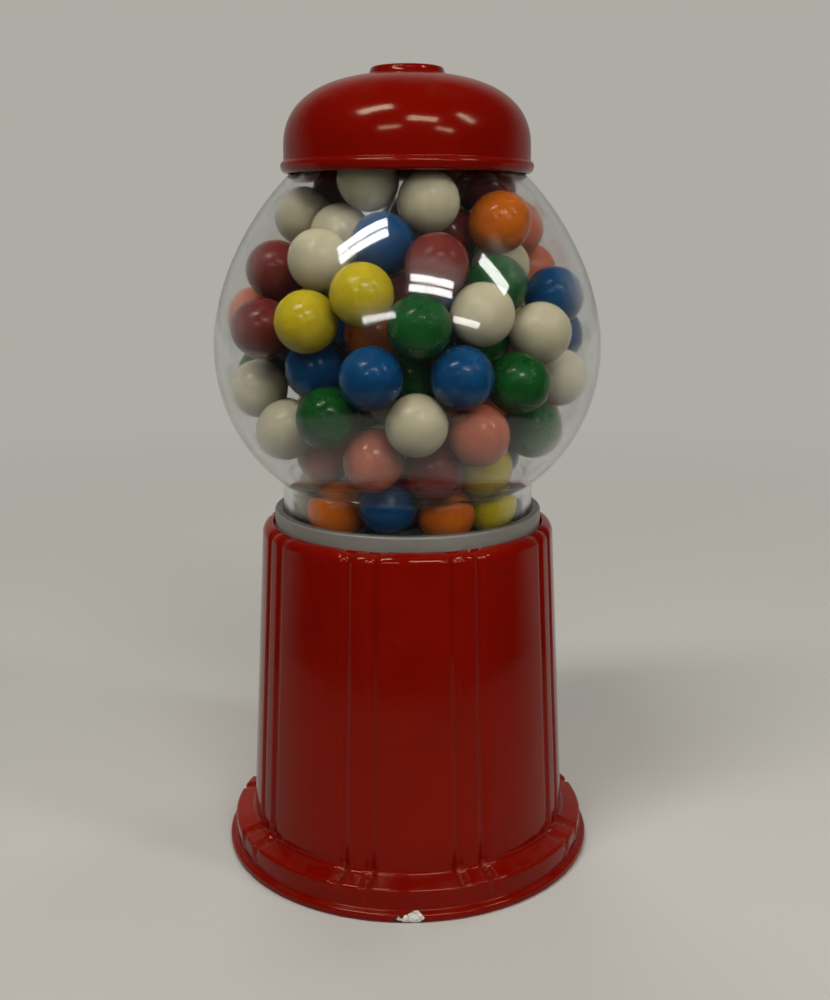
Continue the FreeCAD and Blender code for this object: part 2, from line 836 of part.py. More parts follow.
def make_pinion():
    """Small gear on the shaft's inner end; a gap, not a tooth, stands at the top."""
    blank = new_body("pinion_blank")
    length = pinion_front - pinion_back
    root = pinion_radius - size.tooth_dedendum
    circle_pad(blank, "XZ_Plane", root, length, pinion_back)
    wide = size.tooth_half_width + size.tooth_flare * size.tooth_dedendum
    narrow = size.tooth_half_width - size.tooth_flare * size.tooth_addendum
    tooth = padded(blank, "XZ_Plane", [
        (-wide, root - size.tooth_half_width),
        (wide, root - size.tooth_half_width),
        (wide, root),
        (narrow, pinion_radius + size.tooth_addendum),
        (-narrow, pinion_radius + size.tooth_addendum),
        (-wide, root),
    ], length, pinion_back)
    repeated(blank, tooth, "Y_Axis", size.pinion_teeth)
    half_tooth = 180 / size.pinion_teeth
    place(blank, (0, 0, shaft_level), (0, half_tooth, 0))
    start = (0, -pinion_back + CUT_SPARE, shaft_level)
    bore = rod("pinion_bore", size.shaft_tip_radius + size.thread_gap, start, length + 2 * CUT_SPARE, FORWARD)
    node("drive_pinion", cut("drive_pinion", blank, [bore]))


def make_shaft_line():
    """Drive shaft with its bush, inner bracket and clip."""
    shoulder = pinion_front + size.thread_gap
    stout = rod("shaft_stout", size.shaft_radius, (0, -shoulder, shaft_level),
                shaft_front - shoulder, FORWARD)
    slim = rod("shaft_slim", size.shaft_tip_radius, (0, -shaft_tip, shaft_level),
               shoulder - shaft_tip, FORWARD)
    pilot = rod("shaft_pilot", size.small_screw_radius + size.thread_gap, (0, -shaft_front, shaft_level),
                size.shaft_pilot_depth, BACKWARD)
    node("drive_shaft", cut("drive_shaft", fuse("shaft_blank", [stout, slim]), [pilot]))
    node("shaft_clip", tube("shaft_clip", size.clip_radius, size.shaft_tip_radius + size.thread_gap,
                            (0, -clip_back, shaft_level), size.clip_thickness, FORWARD))
    bore = size.shaft_radius + size.bearing_gap
    sleeve_back = size.pad_front + size.running_gap / 2
    sleeve = rod("bush_sleeve", size.bush_radius, (0, -sleeve_back, shaft_level),
                 plate_front - sleeve_back, FORWARD)
    flange = rod("bush_flange", size.bush_flange_radius, (0, -plate_front, shaft_level),
                 size.bush_flange, FORWARD)
    hole = rod("bush_bore", bore, (0, -pad_back, shaft_level), plate_front, FORWARD)
    node("shaft_bush", cut("shaft_bush", fuse("bush_blank", [sleeve, flange]), [hole]))
    low = shaft_level - size.shaft_radius * 2
    sheet_thick = size.bracket_foot_thickness
    upright = block("bracket_upright", both_sides(size.bracket_half_width), (-bracket_front, -bracket_back),
                    (low, floor_bottom))
    foot = block("bracket_foot", both_sides(size.bracket_half_width),
                 (-bracket_front - size.bracket_foot, -bracket_front),
                 (floor_bottom - sheet_thick, floor_bottom))
    holes = [rod("bracket_bore", bore, (0, -bracket_back + CUT_SPARE, shaft_level),
                 size.bracket_thickness + 2 * CUT_SPARE, FORWARD)]
    screws = []
    for x, y in bracket_screw_places():
        start = (x, y, floor_bottom - sheet_thick - CUT_SPARE)
        holes.append(rod("foot_hole", size.small_screw_radius + size.hole_gap, start,
                         sheet_thick + 2 * CUT_SPARE))
        length = sheet_thick + size.hopper_floor - 2 * size.running_gap
        screws.append(slotted_screw("bracket_screw", size.small_screw_radius, size.small_head_radius,
                                    size.small_head_height, length, (x, y, floor_bottom - sheet_thick)))
    node("bearing_bracket", cut("bearing_bracket", fuse("bracket_blank", [upright, foot]), holes))
    node("bracket_screws", group("bracket_screws", screws))


def bracket_screw_places():
    across = size.bracket_half_width / 2
    forward = bracket_front + size.bracket_foot / 2
    return [(across, -forward), (-across, -forward)]


def chute_screw_places():
    across = chute_outer + size.small_head_radius + size.running_gap
    return [(across, pocket_circle), (-across, pocket_circle)]


def coin_floor(distance):
    """The level of the coin track's floor at a distance in front of the axis."""
    start = shaft_level - size.coin_radius - size.coin_room
    return start - size.track_fall * (size.pad_front - distance) / size.track_length


def make_coin_track():
    """Upright channel that leads a coin back from the slot, to drop beside the ball chute."""
    half = size.coin_slot_width / 2
    outer = half + size.track_sheet
    front = size.pad_front
    back = front - size.track_length
    coin_height = 2 * (size.coin_radius + size.coin_room)
    channel = new_body("track_channel")
    padded(channel, "YZ_Plane", [
        (-front, coin_floor(front) - size.track_sheet),
        (-back, coin_floor(back) - size.track_sheet),
        (-back, coin_floor(back) + coin_height),
        (-front, coin_floor(front) + coin_height),
    ], 2 * outer, size.coin_x - outer)
    hollow = new_body("track_hollow")
    padded(hollow, "YZ_Plane", [
        (-front - CUT_SPARE, coin_floor(front + CUT_SPARE)),
        (-back + CUT_SPARE, coin_floor(back - CUT_SPARE)),
        (-back + CUT_SPARE, coin_floor(front) + 2 * coin_height),
        (-front - CUT_SPARE, coin_floor(front) + 2 * coin_height),
    ], size.coin_slot_width, size.coin_x - half)
    low = coin_floor(front) - size.track_sheet - size.track_flange
    flange = block("track_flange", (size.coin_x - outer, size.coin_x + outer),
                   (-front, -front + size.track_flange_thickness),
                   (low, coin_floor(front) + size.coin_radius))
    x, z = track_screw_place()
    start = (x, -front + size.track_flange_thickness + CUT_SPARE, z)
    hole = rod("track_hole", size.small_screw_radius + size.hole_gap, start,
               size.track_flange_thickness + 2 * CUT_SPARE, FORWARD)
    seat = (x, -front + size.track_flange_thickness, z)
    length = size.track_flange_thickness + size.plate_thickness - 2 * size.running_gap
    screw = slotted_screw("track_screw", size.small_screw_radius, size.small_head_radius,
                          size.small_head_height, length, seat, FORWARD)
    node("coin_track", cut("coin_track", fuse("track_blank", [channel, flange]), [hollow, hole]))
    node("track_screw", screw)


def track_screw_place():
    return size.coin_x, coin_floor(size.pad_front) - size.track_sheet - size.track_flange / 2


def make_ratchet():
    """Ratchet wheel on the shaft, behind the front plate, and its click spring."""
    ratchet = new_body("ratchet_blank")
    circle_pad(ratchet, "XZ_Plane", size.ratchet_radius, size.ratchet_thickness, ratchet_back)
    tooth = padded(ratchet, "XZ_Plane", [
        (0, size.ratchet_radius - size.ratchet_tooth),
        (0, size.ratchet_radius + size.ratchet_tooth),
        (-size.ratchet_tooth * 2, size.ratchet_radius - size.ratchet_tooth / 2),
    ], size.ratchet_thickness, ratchet_back)
    repeated(ratchet, tooth, "Y_Axis", size.ratchet_teeth)
    place(ratchet, (0, 0, shaft_level))
    bore = rod("ratchet_bore", size.shaft_radius + size.thread_gap,
               (0, -ratchet_back + CUT_SPARE, shaft_level), size.pad_front, FORWARD)
    node("ratchet_wheel", cut("ratchet_wheel", ratchet, [bore]))

    near = -size.ratchet_radius - size.ratchet_tooth - size.running_gap
    far = near - size.spring_thickness
    x, z = spring_screw_place()
    reach = (z - size.small_head_radius, z + size.small_head_radius)
    front = -size.pad_front
    leaf_front = -ratchet_face
    leaf = block("spring_leaf", (far, near), (leaf_front, leaf_front + size.spring_width),
                 (shaft_level - size.ratchet_tooth, reach[1]))
    foot = block("spring_foot", (x - size.small_head_radius, near),
                 (front, front + size.spring_thickness), reach)
    riser = block("spring_riser", (far, near), (front, leaf_front + size.spring_width), reach)
    start = (x, front + size.spring_thickness + CUT_SPARE, z)
    hole = rod("spring_hole", size.small_screw_radius + size.hole_gap, start,
               size.spring_thickness + 2 * CUT_SPARE, FORWARD)
    node("ratchet_spring", cut("ratchet_spring", fuse("spring_blank", [leaf, foot, riser]), [hole]))
    length = size.spring_thickness + size.plate_thickness - 2 * size.running_gap
    node("spring_screw", slotted_screw("spring_screw", size.small_screw_radius, size.small_head_radius,
                                       size.small_head_height, length,
                                       (x, front + size.spring_thickness, z), FORWARD))


def spring_screw_place():
    """Where the click spring's foot is screwed to the back of the front plate."""
    across = size.ratchet_radius + size.ratchet_tooth + size.small_head_radius + 2 * size.coin_room
    return -across, shaft_level + size.ratchet_radius


def make_faceplate():
    """Front plate: coin slot, raised dial, shaft hole, ball mouth, hinge ears and catch lip."""
    body = new_body("plate_body")
    padded(body, "XZ_Plane",
           rounded_rectangle(both_sides(plate_half), (plate_bottom, plate_top), size.plate_corner),
           size.plate_thickness, size.pad_front)
    slot_half = size.coin_slot_width / 2
    slot_low = coin_floor(size.pad_front)
    slot_high = slot_low + 2 * (size.coin_radius + size.coin_room)
    margin = size.slot_boss_margin
    across = (size.coin_x - slot_half - margin, size.coin_x + slot_half + margin)
    padded(body, "XZ_Plane", rounded_rectangle(across, (slot_low - margin, slot_high + margin), margin),
           size.slot_boss_height, plate_front)
    dial = rod("plate_dial", size.dial_radius, (0, -plate_front + size.dial_height, shaft_level),
               2 * size.dial_height, FORWARD)
    flap_half = size.mouth_half_width + size.flap_overlap
    ear_inner = flap_half + size.running_gap
    ear_outer = ear_inner + size.ear_thickness
    ear_front = pin_front + size.flap_barrel_radius
    ear_levels = (pin_level - size.flap_barrel_radius, pin_level + size.flap_barrel_radius)
    lip_top = plate_bottom + size.lip_thickness
    solids = [body, dial]
    for limits in ((ear_inner, ear_outer), (-ear_outer, -ear_inner)):
        solids.append(block("hinge_ear", limits, (-ear_front, -plate_front), ear_levels))
    solids.append(block("catch_lip", both_sides(ear_outer), (-plate_front - size.lip_depth, -plate_front),
                        (plate_bottom, lip_top)))
    whole = (-plate_front - 2 * size.slot_boss_height, -size.pad_front + CUT_SPARE)
    tools = [
        block("ball_mouth", both_sides(size.mouth_half_width), whole, (mouth_bottom, mouth_top)),
        block("coin_slot", (size.coin_x - slot_half, size.coin_x + slot_half), whole, (slot_low, slot_high)),
        rod("bush_hole", size.bush_radius + size.bearing_gap, (0, whole[1], shaft_level),
            plate_front, FORWARD),
        rod("dial_seat", size.bush_flange_radius + size.bearing_gap, (0, -plate_front, shaft_level),
            plate_front, FORWARD),
        rod("pin_hole", size.flap_pin_radius + size.bearing_gap, (-plate_half, -pin_front, pin_level),
            2 * plate_half, SIDEWAYS),
    ]
    for x, z in (track_screw_place(), spring_screw_place()):
        tools.append(rod("plate_pilot", size.small_screw_radius + size.thread_gap, (x, -size.pad_front, z),
                         size.plate_thickness - size.running_gap, FORWARD))
    screws = []
    for x, z in faceplate_screw_places():
        tools.append(rod("plate_screw_hole", size.screw_radius + size.hole_gap, (x, whole[1], z),
                         plate_front, FORWARD))
        length = plate_front - pad_back - size.shell_wall - size.running_gap
        screws.append(slotted_screw("faceplate_screw", size.screw_radius, size.screw_head_radius,
                                    size.screw_head_height, length, (x, -plate_front, z), BACKWARD))
    node("faceplate", cut("faceplate", fuse("faceplate_blank", solids), tools))
    node("faceplate_screws", group("faceplate_screws", screws))
    node("flap_pin", rod("flap_pin", size.flap_pin_radius, (-ear_outer, -pin_front, pin_level),
                         2 * ear_outer, SIDEWAYS))
    barrel = rod("flap_barrel", size.flap_barrel_radius, (-flap_half, -pin_front, pin_level),
                 2 * flap_half, SIDEWAYS)
    half_sheet = size.flap_thickness / 2
    panel = block("flap_panel", both_sides(flap_half), (-pin_front - half_sheet, -pin_front + half_sheet),
                  (lip_top + 3 * size.running_gap, pin_level))
    bore = rod("flap_bore", size.flap_pin_radius + size.bearing_gap, (-plate_half, -pin_front, pin_level),
               2 * plate_half, SIDEWAYS)
    node("chute_flap", cut("chute_flap", fuse("flap_blank", [barrel, panel]), [bore]))


def make_handle():
    """Turning handle: a round back plate with a rounded bar across it, held by a screw."""
    body = new_body("handle_body")
    circle_pad(body, "XZ_Plane", size.handle_disc_radius, size.handle_disc_height, handle_back)
    bar = padded(body, "XZ_Plane",
                 rounded_rectangle(both_sides(size.handle_half_length), both_sides(size.handle_half_width),
                                   size.handle_half_width - size.running_gap),
                 size.handle_height, handle_disc_front)
    doc.recompute()
    face = -handle_front.value
    rim = []
    for number, edge in enumerate(bar.Shape.Edges, start=1):
        if abs(edge.BoundBox.YMax - face) < FACE_TOLERANCE:
            rim.append("Edge%d" % number)
    rounding = body.newObject("PartDesign::Fillet", "handle_rounding")
    rounding.Base = (bar, rim)
    bind(rounding, "Radius", size.handle_rounding)
    place(body, (0, 0, shaft_level))
    bore = rod("handle_bore", size.shaft_radius + size.thread_gap, (0, -handle_back + CUT_SPARE, shaft_level),
               shaft_front - handle_back + CUT_SPARE, FORWARD)
    screw_hole = rod("handle_screw_hole", size.small_screw_radius + size.hole_gap,
                     (0, -handle_back, shaft_level), size.pad_front, FORWARD)
    recess = rod("handle_recess", size.small_head_radius + size.hole_gap,
                 (0, -handle_screw_seat, shaft_level), size.pad_front, FORWARD)
    node("handle", cut("handle", body, [bore, screw_hole, recess]))
    length = handle_screw_seat - shaft_front + size.shaft_pilot_depth - size.running_gap
    node("handle_screw", slotted_screw("handle_screw", size.small_screw_radius, size.small_head_radius,
                                       size.small_head_height, length,
                                       (0, -handle_screw_seat, shaft_level), BACKWARD))


chute_front = -size.pad_front + size.thread_gap
chute_back = pocket_circle + size.drop_radius + size.chute_wall
chute_length = chute_back - chute_front


def chute_floor(y):
    """The level of the chute's floor at a place along it."""
    return size.chute_front_floor + size.chute_fall * (y - chute_front) / chute_length


def make_chute():
    """Trough that takes a ball from the drop hole under the gears to the front."""
    high_front = crown_outer + size.bracket_gap
    trough = new_body("chute_trough")
    padded(trough, "YZ_Plane", [
        (chute_front, size.chute_front_floor - size.chute_wall),
        (chute_back, chute_floor(chute_back) - size.chute_wall),
        (chute_back, floor_bottom),
        (high_front, floor_bottom),
        (high_front, chute_floor(high_front) + size.chute_side_height),
        (chute_front, size.chute_front_floor + size.chute_side_height),
    ], 2 * chute_outer, -chute_outer)
    hollow = new_body("chute_hollow")
    inside_back = chute_back - size.chute_wall
    over = floor_bottom + size.chute_side_height
    padded(hollow, "YZ_Plane", [
        (chute_front - CUT_SPARE, chute_floor(chute_front - CUT_SPARE)),
        (inside_back, chute_floor(inside_back)),
        (inside_back, over),
        (chute_front - CUT_SPARE, over),
    ], 2 * size.chute_half_width, -size.chute_half_width)
    thick = size.chute_flange_thickness
    solids = [trough]
    tools = [hollow]
    screws = []
    for x, y in chute_screw_places():
        reach = size.small_head_radius + size.running_gap
        solids.append(block("chute_flange", (x - reach, x + reach), (y - reach, y + reach),
                            (floor_bottom - thick, floor_bottom)))
        start = (x, y, floor_bottom - thick - CUT_SPARE)
        tools.append(rod("chute_hole", size.small_screw_radius + size.hole_gap, start, thick + 2 * CUT_SPARE))
        length = thick + size.hopper_floor - 2 * size.running_gap
        screws.append(slotted_screw("chute_screw", size.small_screw_radius, size.small_head_radius,
                                    size.small_head_height, length, (x, y, floor_bottom - thick)))
    node("chute", cut("chute", fuse("chute_blank", solids), tools))
    node("chute_screws", group("chute_screws", screws))


LOWER_POWER = 2.12
UPPER_POWER = 1.74
DOME_POWER = 2.5
CURVE_STEPS = 9


def oval_radius(radius, height, power, rise):
    """The radius of a squarish or pointed oval at a height above its middle."""
    return radius * max(0.0, 1.0 - (rise / height) ** power) ** (1.0 / power)


def oval_rise(radius, height, power, across):
    """The height above its middle where the oval has a radius."""
    return height * max(0.0, 1.0 - (across / radius) ** power) ** (1.0 / power)


def oval_curve(radius, height, power, first, last, middle, way):
    """A smooth curve along an oval between two radii; way is 1 above its middle and -1 below."""
    points = []
    start = math.acos((first / radius) ** (power / 2.0))
    end = math.acos((last / radius) ** (power / 2.0))
    for step in range(CURVE_STEPS + 1):
        angle = start + (end - start) * step / CURVE_STEPS
        across = radius * math.cos(angle) ** (2.0 / power)
        points.append(FreeCAD.Vector(across, 0, middle + way * height * math.sin(angle) ** (2.0 / power)))
    curve = Part.BSplineCurve()
    curve.interpolate(points)
    return curve.toShape()


def spin(edges):
    """The solid turned by a closed outline about the upright axis."""
    face = Part.Face(Part.Wire(edges))
    return face.revolve(FreeCAD.Vector(0, 0, 0), FreeCAD.Vector(0, 0, 1), 360)


def line(first, last):
    ends = [FreeCAD.Vector(point[0], 0, point[1]) for point in (first, last)]
    return Part.LineSegment(*ends).toShape()


def arc(first, middle, last):
    points = [FreeCAD.Vector(point[0], 0, point[1]) for point in (first, middle, last)]
    return Part.Arc(*points).toShape()


class GlobeForm:
    """The numbers of the globe's outline, shared by the globe, the lid and the gumballs."""

    def __init__(self):
        wall = size.globe_wall.value
        self.middle = (ring_top + size.globe_middle_rise).value
        self.foot = neck_level.value
        self.radius = size.globe_radius.value
        self.lower = size.globe_lower_height.value
        self.upper = size.globe_upper_height.value
        self.neck = size.neck_radius.value
        self.collar = size.collar_radius.value
        self.inner_radius = self.radius - wall
        self.inner_lower = self.lower - wall
        self.inner_upper = self.upper - wall
        self.inner_neck = self.neck - wall
        self.inner_collar = self.collar - wall
        self.crease = self.middle - oval_rise(self.radius, self.lower, LOWER_POWER, self.neck)
        self.inner_crease = self.middle - oval_rise(self.inner_radius, self.inner_lower, LOWER_POWER,
                                                    self.inner_neck)
        self.shoulder = self.middle + oval_rise(self.radius, self.upper, UPPER_POWER, self.collar)
        self.inner_shoulder = self.middle + oval_rise(self.inner_radius, self.inner_upper, UPPER_POWER,
                                                      self.inner_collar)
        self.top = self.shoulder + size.collar_top.value

    def inside_radius(self, level):
        """The radius of the inside wall at a level."""
        if level >= self.inner_shoulder:
            return self.inner_collar
        if level >= self.middle:
            return oval_radius(self.inner_radius, self.inner_upper, UPPER_POWER, level - self.middle)
        if level <= self.inner_crease:
            return self.inner_neck
        return oval_radius(self.inner_radius, self.inner_lower, LOWER_POWER, self.middle - level)


globe_form = GlobeForm()


def make_globe():
    """Clear globe with a straight neck below and a filling collar above."""
    form = globe_form
    rim = (form.collar - form.inner_collar) / 2
    rim_start = form.top - rim
    edges = [
        line((form.inner_neck, form.foot), (form.neck, form.foot)),
        line((form.neck, form.foot), (form.neck, form.crease)),
        oval_curve(form.radius, form.lower, LOWER_POWER, form.neck, form.radius, form.middle, -1),
        oval_curve(form.radius, form.upper, UPPER_POWER, form.radius, form.collar, form.middle, 1),
        line((form.collar, form.shoulder), (form.collar, rim_start)),
        arc((form.collar, rim_start), (form.collar - rim, form.top), (form.inner_collar, rim_start)),
        line((form.inner_collar, rim_start), (form.inner_collar, form.inner_shoulder)),
        oval_curve(form.inner_radius, form.inner_upper, UPPER_POWER, form.inner_collar, form.inner_radius,
                   form.middle, 1),
        oval_curve(form.inner_radius, form.inner_lower, LOWER_POWER, form.inner_radius, form.inner_neck,
                   form.middle, -1),
        line((form.inner_neck, form.inner_crease), (form.inner_neck, form.foot)),
    ]
    globe = doc.addObject("Part::Feature", "globe")
    globe.Shape = spin(edges)
    node("globe", globe)


def make_lid():
    """Pressed lid with a rolled rim and a flat boss, loose on the globe's shoulder."""
    form = globe_form
    wall = size.lid_wall.value
    radius = size.lid_radius.value
    rim_radius = size.lid_rim_radius.value
    bead = size.lid_rim_height.value / 2
    inner = radius - wall
    seat = rim_radius - bead - size.fit_gap.value
    gap = size.lid_seat_gap.value * math.sqrt(2.0)
    low = form.middle + oval_rise(form.radius, form.upper, UPPER_POWER, seat - gap)
    middle = low + size.lid_skirt_height.value
    dome = size.lid_dome_height.value
    bead_rise = bead + math.sqrt(bead * bead - (radius - rim_radius + bead) ** 2)
    boss = size.lid_boss_radius.value
    boss_top = size.lid_boss_top_radius.value
    boss_foot = middle + oval_rise(radius, dome, DOME_POWER, boss)
    top = middle + dome + size.lid_boss_height.value
    round_off = size.lid_boss_height.value / 2
    cut_back = round_off * (1 - math.sqrt(0.5))
    edges = [
        line((seat, low), (rim_radius - bead, low)),
        arc((rim_radius - bead, low), (rim_radius, low + bead), (radius, low + bead_rise)),
        line((radius, low + bead_rise), (radius, middle)),
        oval_curve(radius, dome, DOME_POWER, radius, boss, middle, 1),
        line((boss, boss_foot), (boss_top, top - round_off)),
        arc((boss_top, top - round_off), (boss_top - cut_back, top - cut_back),
            (boss_top - round_off, top)),
        line((boss_top - round_off, top), (0, top)),
        line((0, top), (0, middle + dome - wall)),
        oval_curve(inner, dome - wall, DOME_POWER, 0.0, inner, middle, 1),
        line((inner, middle), (inner, low + 2 * bead)),
        line((inner, low + 2 * bead), (seat, low)),
    ]
    lid = doc.addObject("Part::Feature", "lid")
    lid.Shape = spin(edges)
    node("lid", lid)


# Gumballs that lie where they can be seen from behind: colour, bearing from the middle of the back
# in degrees, height of the centre above the middle of the globe, and how far in from the wall.
SEEN_BALLS = (
    ("white", -30, 42, 0), ("white", 12, 37, 0), ("white", -84, 34, 0), ("maroon", -104, 40, 2),
    ("maroon", 78, 40, 0), ("orange", 50, 31, 0), ("coral", 84, 30, 0), ("white", -37, 23, 0),
    ("white", -48, 30, 8), ("blue", -10, 27, 0), ("maroon", -65, 20, 0), ("maroon", 11, 22, 0),
    ("maroon", 30, 29, 9), ("green", 37, 17, 0), ("white", 78, 21, 10), ("coral", 96, 20, 0),
    ("blue", 76, 14, 0), ("yellow", -16, 15, 0), ("yellow", -36, 9, 0), ("maroon", -62, 6, 0),
    ("green", 4, 8, 0), ("white", 26, 10, 0), ("white", 51, 5, 0), ("blue", 86, 2, 0),
    ("orange", -18, 4, 15), ("blue", -43, -4, 8), ("blue", -12, -4, 0), ("blue", 17, -3, 0),
    ("green", 3, -5, 10), ("green", 40, -7, 0), ("green", 38, 2, 11), ("white", 82, -8, 0),
    ("white", -78, -11, 0), ("green", -100, -9, 0), ("green", -98, -23, 0), ("green", -29, -15, 0),
    ("white", -58, -20, 0), ("white", 4, -15, 0), ("coral", -16, -26, 0), ("coral", 28, -19, 0),
    ("green", 66, -20, 0), ("orange", 92, -23, 0), ("blue", 96, -16, 0), ("yellow", 57, -34, 0),
    ("blue", 82, -35, 0), ("coral", 104, -30, 0), ("coral", -62, -34, 0), ("maroon", 14, -30, 0),
    ("white", -96, -33, 0), ("white", -88, -43, 0), ("orange", -42, -43, 0), ("blue", -10, -38, 0),
    ("orange", 22, -43, 0), ("yellow", 60, -43, 0), ("blue", 104, -42, 0),
)
BALL_COLOURS = ("white", "maroon", "blue", "green", "yellow", "orange", "coral")
HIDDEN_ORDER = (0, 2, 5, 1, 3, 6, 4, 2, 0, 3, 1, 5, 4)
SETTLE_ROUNDS = 400
PULL = 0.3
FILL_STEP = 1.5
WALL_SAMPLES = 240
LEVEL_STEPS = 4
HEAP_TURN = 2.2


class BallPile:
    """Gumballs heaped in the globe: the seen ones are pushed apart, and the rest fill the room left."""

    def __init__(self):
        self.radius = size.ball_radius.value
        self.space = 2 * self.radius + size.ball_gap.value
        self.floor = neck_level.value + self.radius + size.ball_gap.value
        self.ceiling = globe_form.top - size.fill_room.value - self.radius
        self.wall_points = []
        for step in range(WALL_SAMPLES + 1):
            level = globe_form.foot + (globe_form.top - globe_form.foot) * step / WALL_SAMPLES
            self.wall_points.append((globe_form.inside_radius(level), level))
        self.reaches = {}
        self.balls = []

    def reach(self, level):
        """The furthest that a ball's centre may stand from the axis at a level."""
        key = round(level * LEVEL_STEPS)
        if key not in self.reaches:
            clear = self.radius + size.ball_gap.value
            most = globe_form.inner_radius
            for radius, height in self.wall_points:
                away = abs(height - key / LEVEL_STEPS)
                if away < clear:
                    most = min(most, radius - math.sqrt(clear * clear - away * away))
            self.reaches[key] = most
        return self.reaches[key]

    def keep_inside(self, ball):
        """Bring a ball's centre back between floor and collar, and inside the wall."""
        ball[2] = min(max(ball[2], self.floor), self.ceiling)
        most = self.reach(ball[2])
        across = math.hypot(ball[0], ball[1])
        if across > most:
            ball[0] *= most / across
            ball[1] *= most / across

    def place_seen(self):
        """Put the seen balls at the wall, or behind those, push them apart and keep those that fit.

        At first each ball is also drawn back to its place across and up, so that it gives way in depth.
        """
        seen = []
        for colour, bearing, rise, inset in SEEN_BALLS:
            level = max(globe_form.middle + rise, self.floor)
            across = self.reach(level) - inset
            angle = math.radians(bearing - HEAP_TURN)
            seen.append([-across * math.sin(angle), across * math.cos(angle), level, colour])
        goals = [ball[:] for ball in seen]
        for number in range(SETTLE_ROUNDS):
            pull = max(0.0, PULL * (1 - 2 * number / SETTLE_ROUNDS))
            for ball, goal in zip(seen, goals):
                ball[0] += pull * (goal[0] - ball[0])
                ball[2] += pull * (goal[2] - ball[2])
            for first in range(len(seen)):
                for second in range(first):
                    self.push_apart(seen[first], seen[second])
            for ball in seen:
                self.keep_inside(ball)
        for ball in seen:
            if self.is_free(ball):
                self.balls.append(ball)

    def push_apart(self, first, second):
        """Move two balls that overlap away from each other by equal amounts."""
        step = [first[axis] - second[axis] for axis in range(3)]
        apart = math.sqrt(step[0] ** 2 + step[1] ** 2 + step[2] ** 2)
        goal = self.space + size.ball_gap.value
        if 0 < apart < goal:
            share = (goal - apart) / apart / 2
            for axis in range(3):
                first[axis] += step[axis] * share
                second[axis] -= step[axis] * share

    def is_free(self, place, skip=None):
        for ball in self.balls:
            if ball is skip:
                continue
            if abs(ball[2] - place[2]) < self.space and abs(ball[0] - place[0]) < self.space:
                away = sum((ball[axis] - place[axis]) ** 2 for axis in range(3))
                if away < self.space * self.space:
                    return False
        return True

    def fill(self):
        """Add balls at the lowest free places, going round the wall before the middle."""
        added = []
        places = []
        levels = int((self.ceiling - self.floor) / FILL_STEP)
        for rank in range(levels + 1):
            level = self.floor + rank * FILL_STEP
            across = self.reach(level)
            while across > 0:
                count = max(1, int(2 * math.pi * across / FILL_STEP))
                for number in range(count):
                    angle = 2 * math.pi * number / count + rank
                    places.append((level, -across, across * math.cos(angle), across * math.sin(angle)))
                across -= FILL_STEP
        places.sort(key=lambda spot: (spot[0], spot[1]))
        for level, _, x, y in places:
            if self.is_free((x, y, level)):
                colour = BALL_COLOURS[HIDDEN_ORDER[len(added) % len(HIDDEN_ORDER)]]
                added.append([x, y, level, colour])
                self.balls.append(added[-1])
        self.drop_loose(added)

    def drop_loose(self, loose):
        """Lower each loose ball as far as what lies under it lets it go."""
        for ball in loose:
            for _ in range(SETTLE_ROUNDS):
                spot = [ball[0], ball[1], ball[2] - self.space / SETTLE_ROUNDS]
                self.keep_inside(spot)
                if spot[2] >= ball[2] or not self.is_free(spot, ball):
                    break
                ball[0], ball[1], ball[2] = spot


def make_gumballs():
    """The heap of gumballs, one node for each colour."""
    pile = BallPile()
    pile.place_seen()
    pile.fill()
    nearest = min(
        math.dist(first[:3], second[:3])
        for number, first in enumerate(pile.balls) for second in pile.balls[:number]
    )
    print("gumballs: %d, nearest centres %.2f mm apart" % (len(pile.balls), nearest))
    for colour in BALL_COLOURS:
        spheres = []
        for ball in pile.balls:
            if ball[3] == colour:
                spheres.append(Part.makeSphere(pile.radius, FreeCAD.Vector(*ball[:3])))
        heap = doc.addObject("Part::Feature", "gumballs_" + colour)
        heap.Shape = Part.makeCompound(spheres)
        node("gumballs_" + colour, heap)


def run():
    make_base_shell()
    make_bottom_plate()
    make_hopper()
    make_seat_ring()
    make_baffle()
    make_ball_wheel()
    make_crown_gear()
    make_pinion()
    make_shaft_line()
    make_coin_track()
    make_ratchet()
    make_faceplate()
    make_handle()
    make_chute()
    make_globe()
    make_lid()
    make_gumballs()
    doc.recompute()
    check()
    export()


def check():
    """Stop if any object failed or any sub-part is not a sound solid."""
    for thing in doc.Objects:
        if "Invalid" in thing.State or "Error" in thing.State:
            raise ValueError("%s failed: %s" % (thing.Label, thing.State))
    for label, thing in nodes.items():
        shape = thing.Shape
        if shape.isNull() or not shape.isValid() or not shape.Solids:
            raise ValueError("%s is not a sound solid" % label)
        print("%-20s %2d solids %9.1f mm3" % (label, len(shape.Solids), shape.Volume))


def export():
    """Write each sub-part to its own file."""
    os.makedirs("parts", exist_ok=True)
    for label, thing in nodes.items():
        thing.Shape.exportStep(os.path.join("parts", label + ".step"))


run()
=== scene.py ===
"""A small table-top gumball machine: red casting, clear globe, loose lid and a chrome front."""

import sys

import json
import logging
import math
import random
from dataclasses import dataclass
from enum import Enum
from typing import Iterable, Optional, Sequence, Union

import bmesh
import bpy
from mathutils import Matrix, Vector, noise

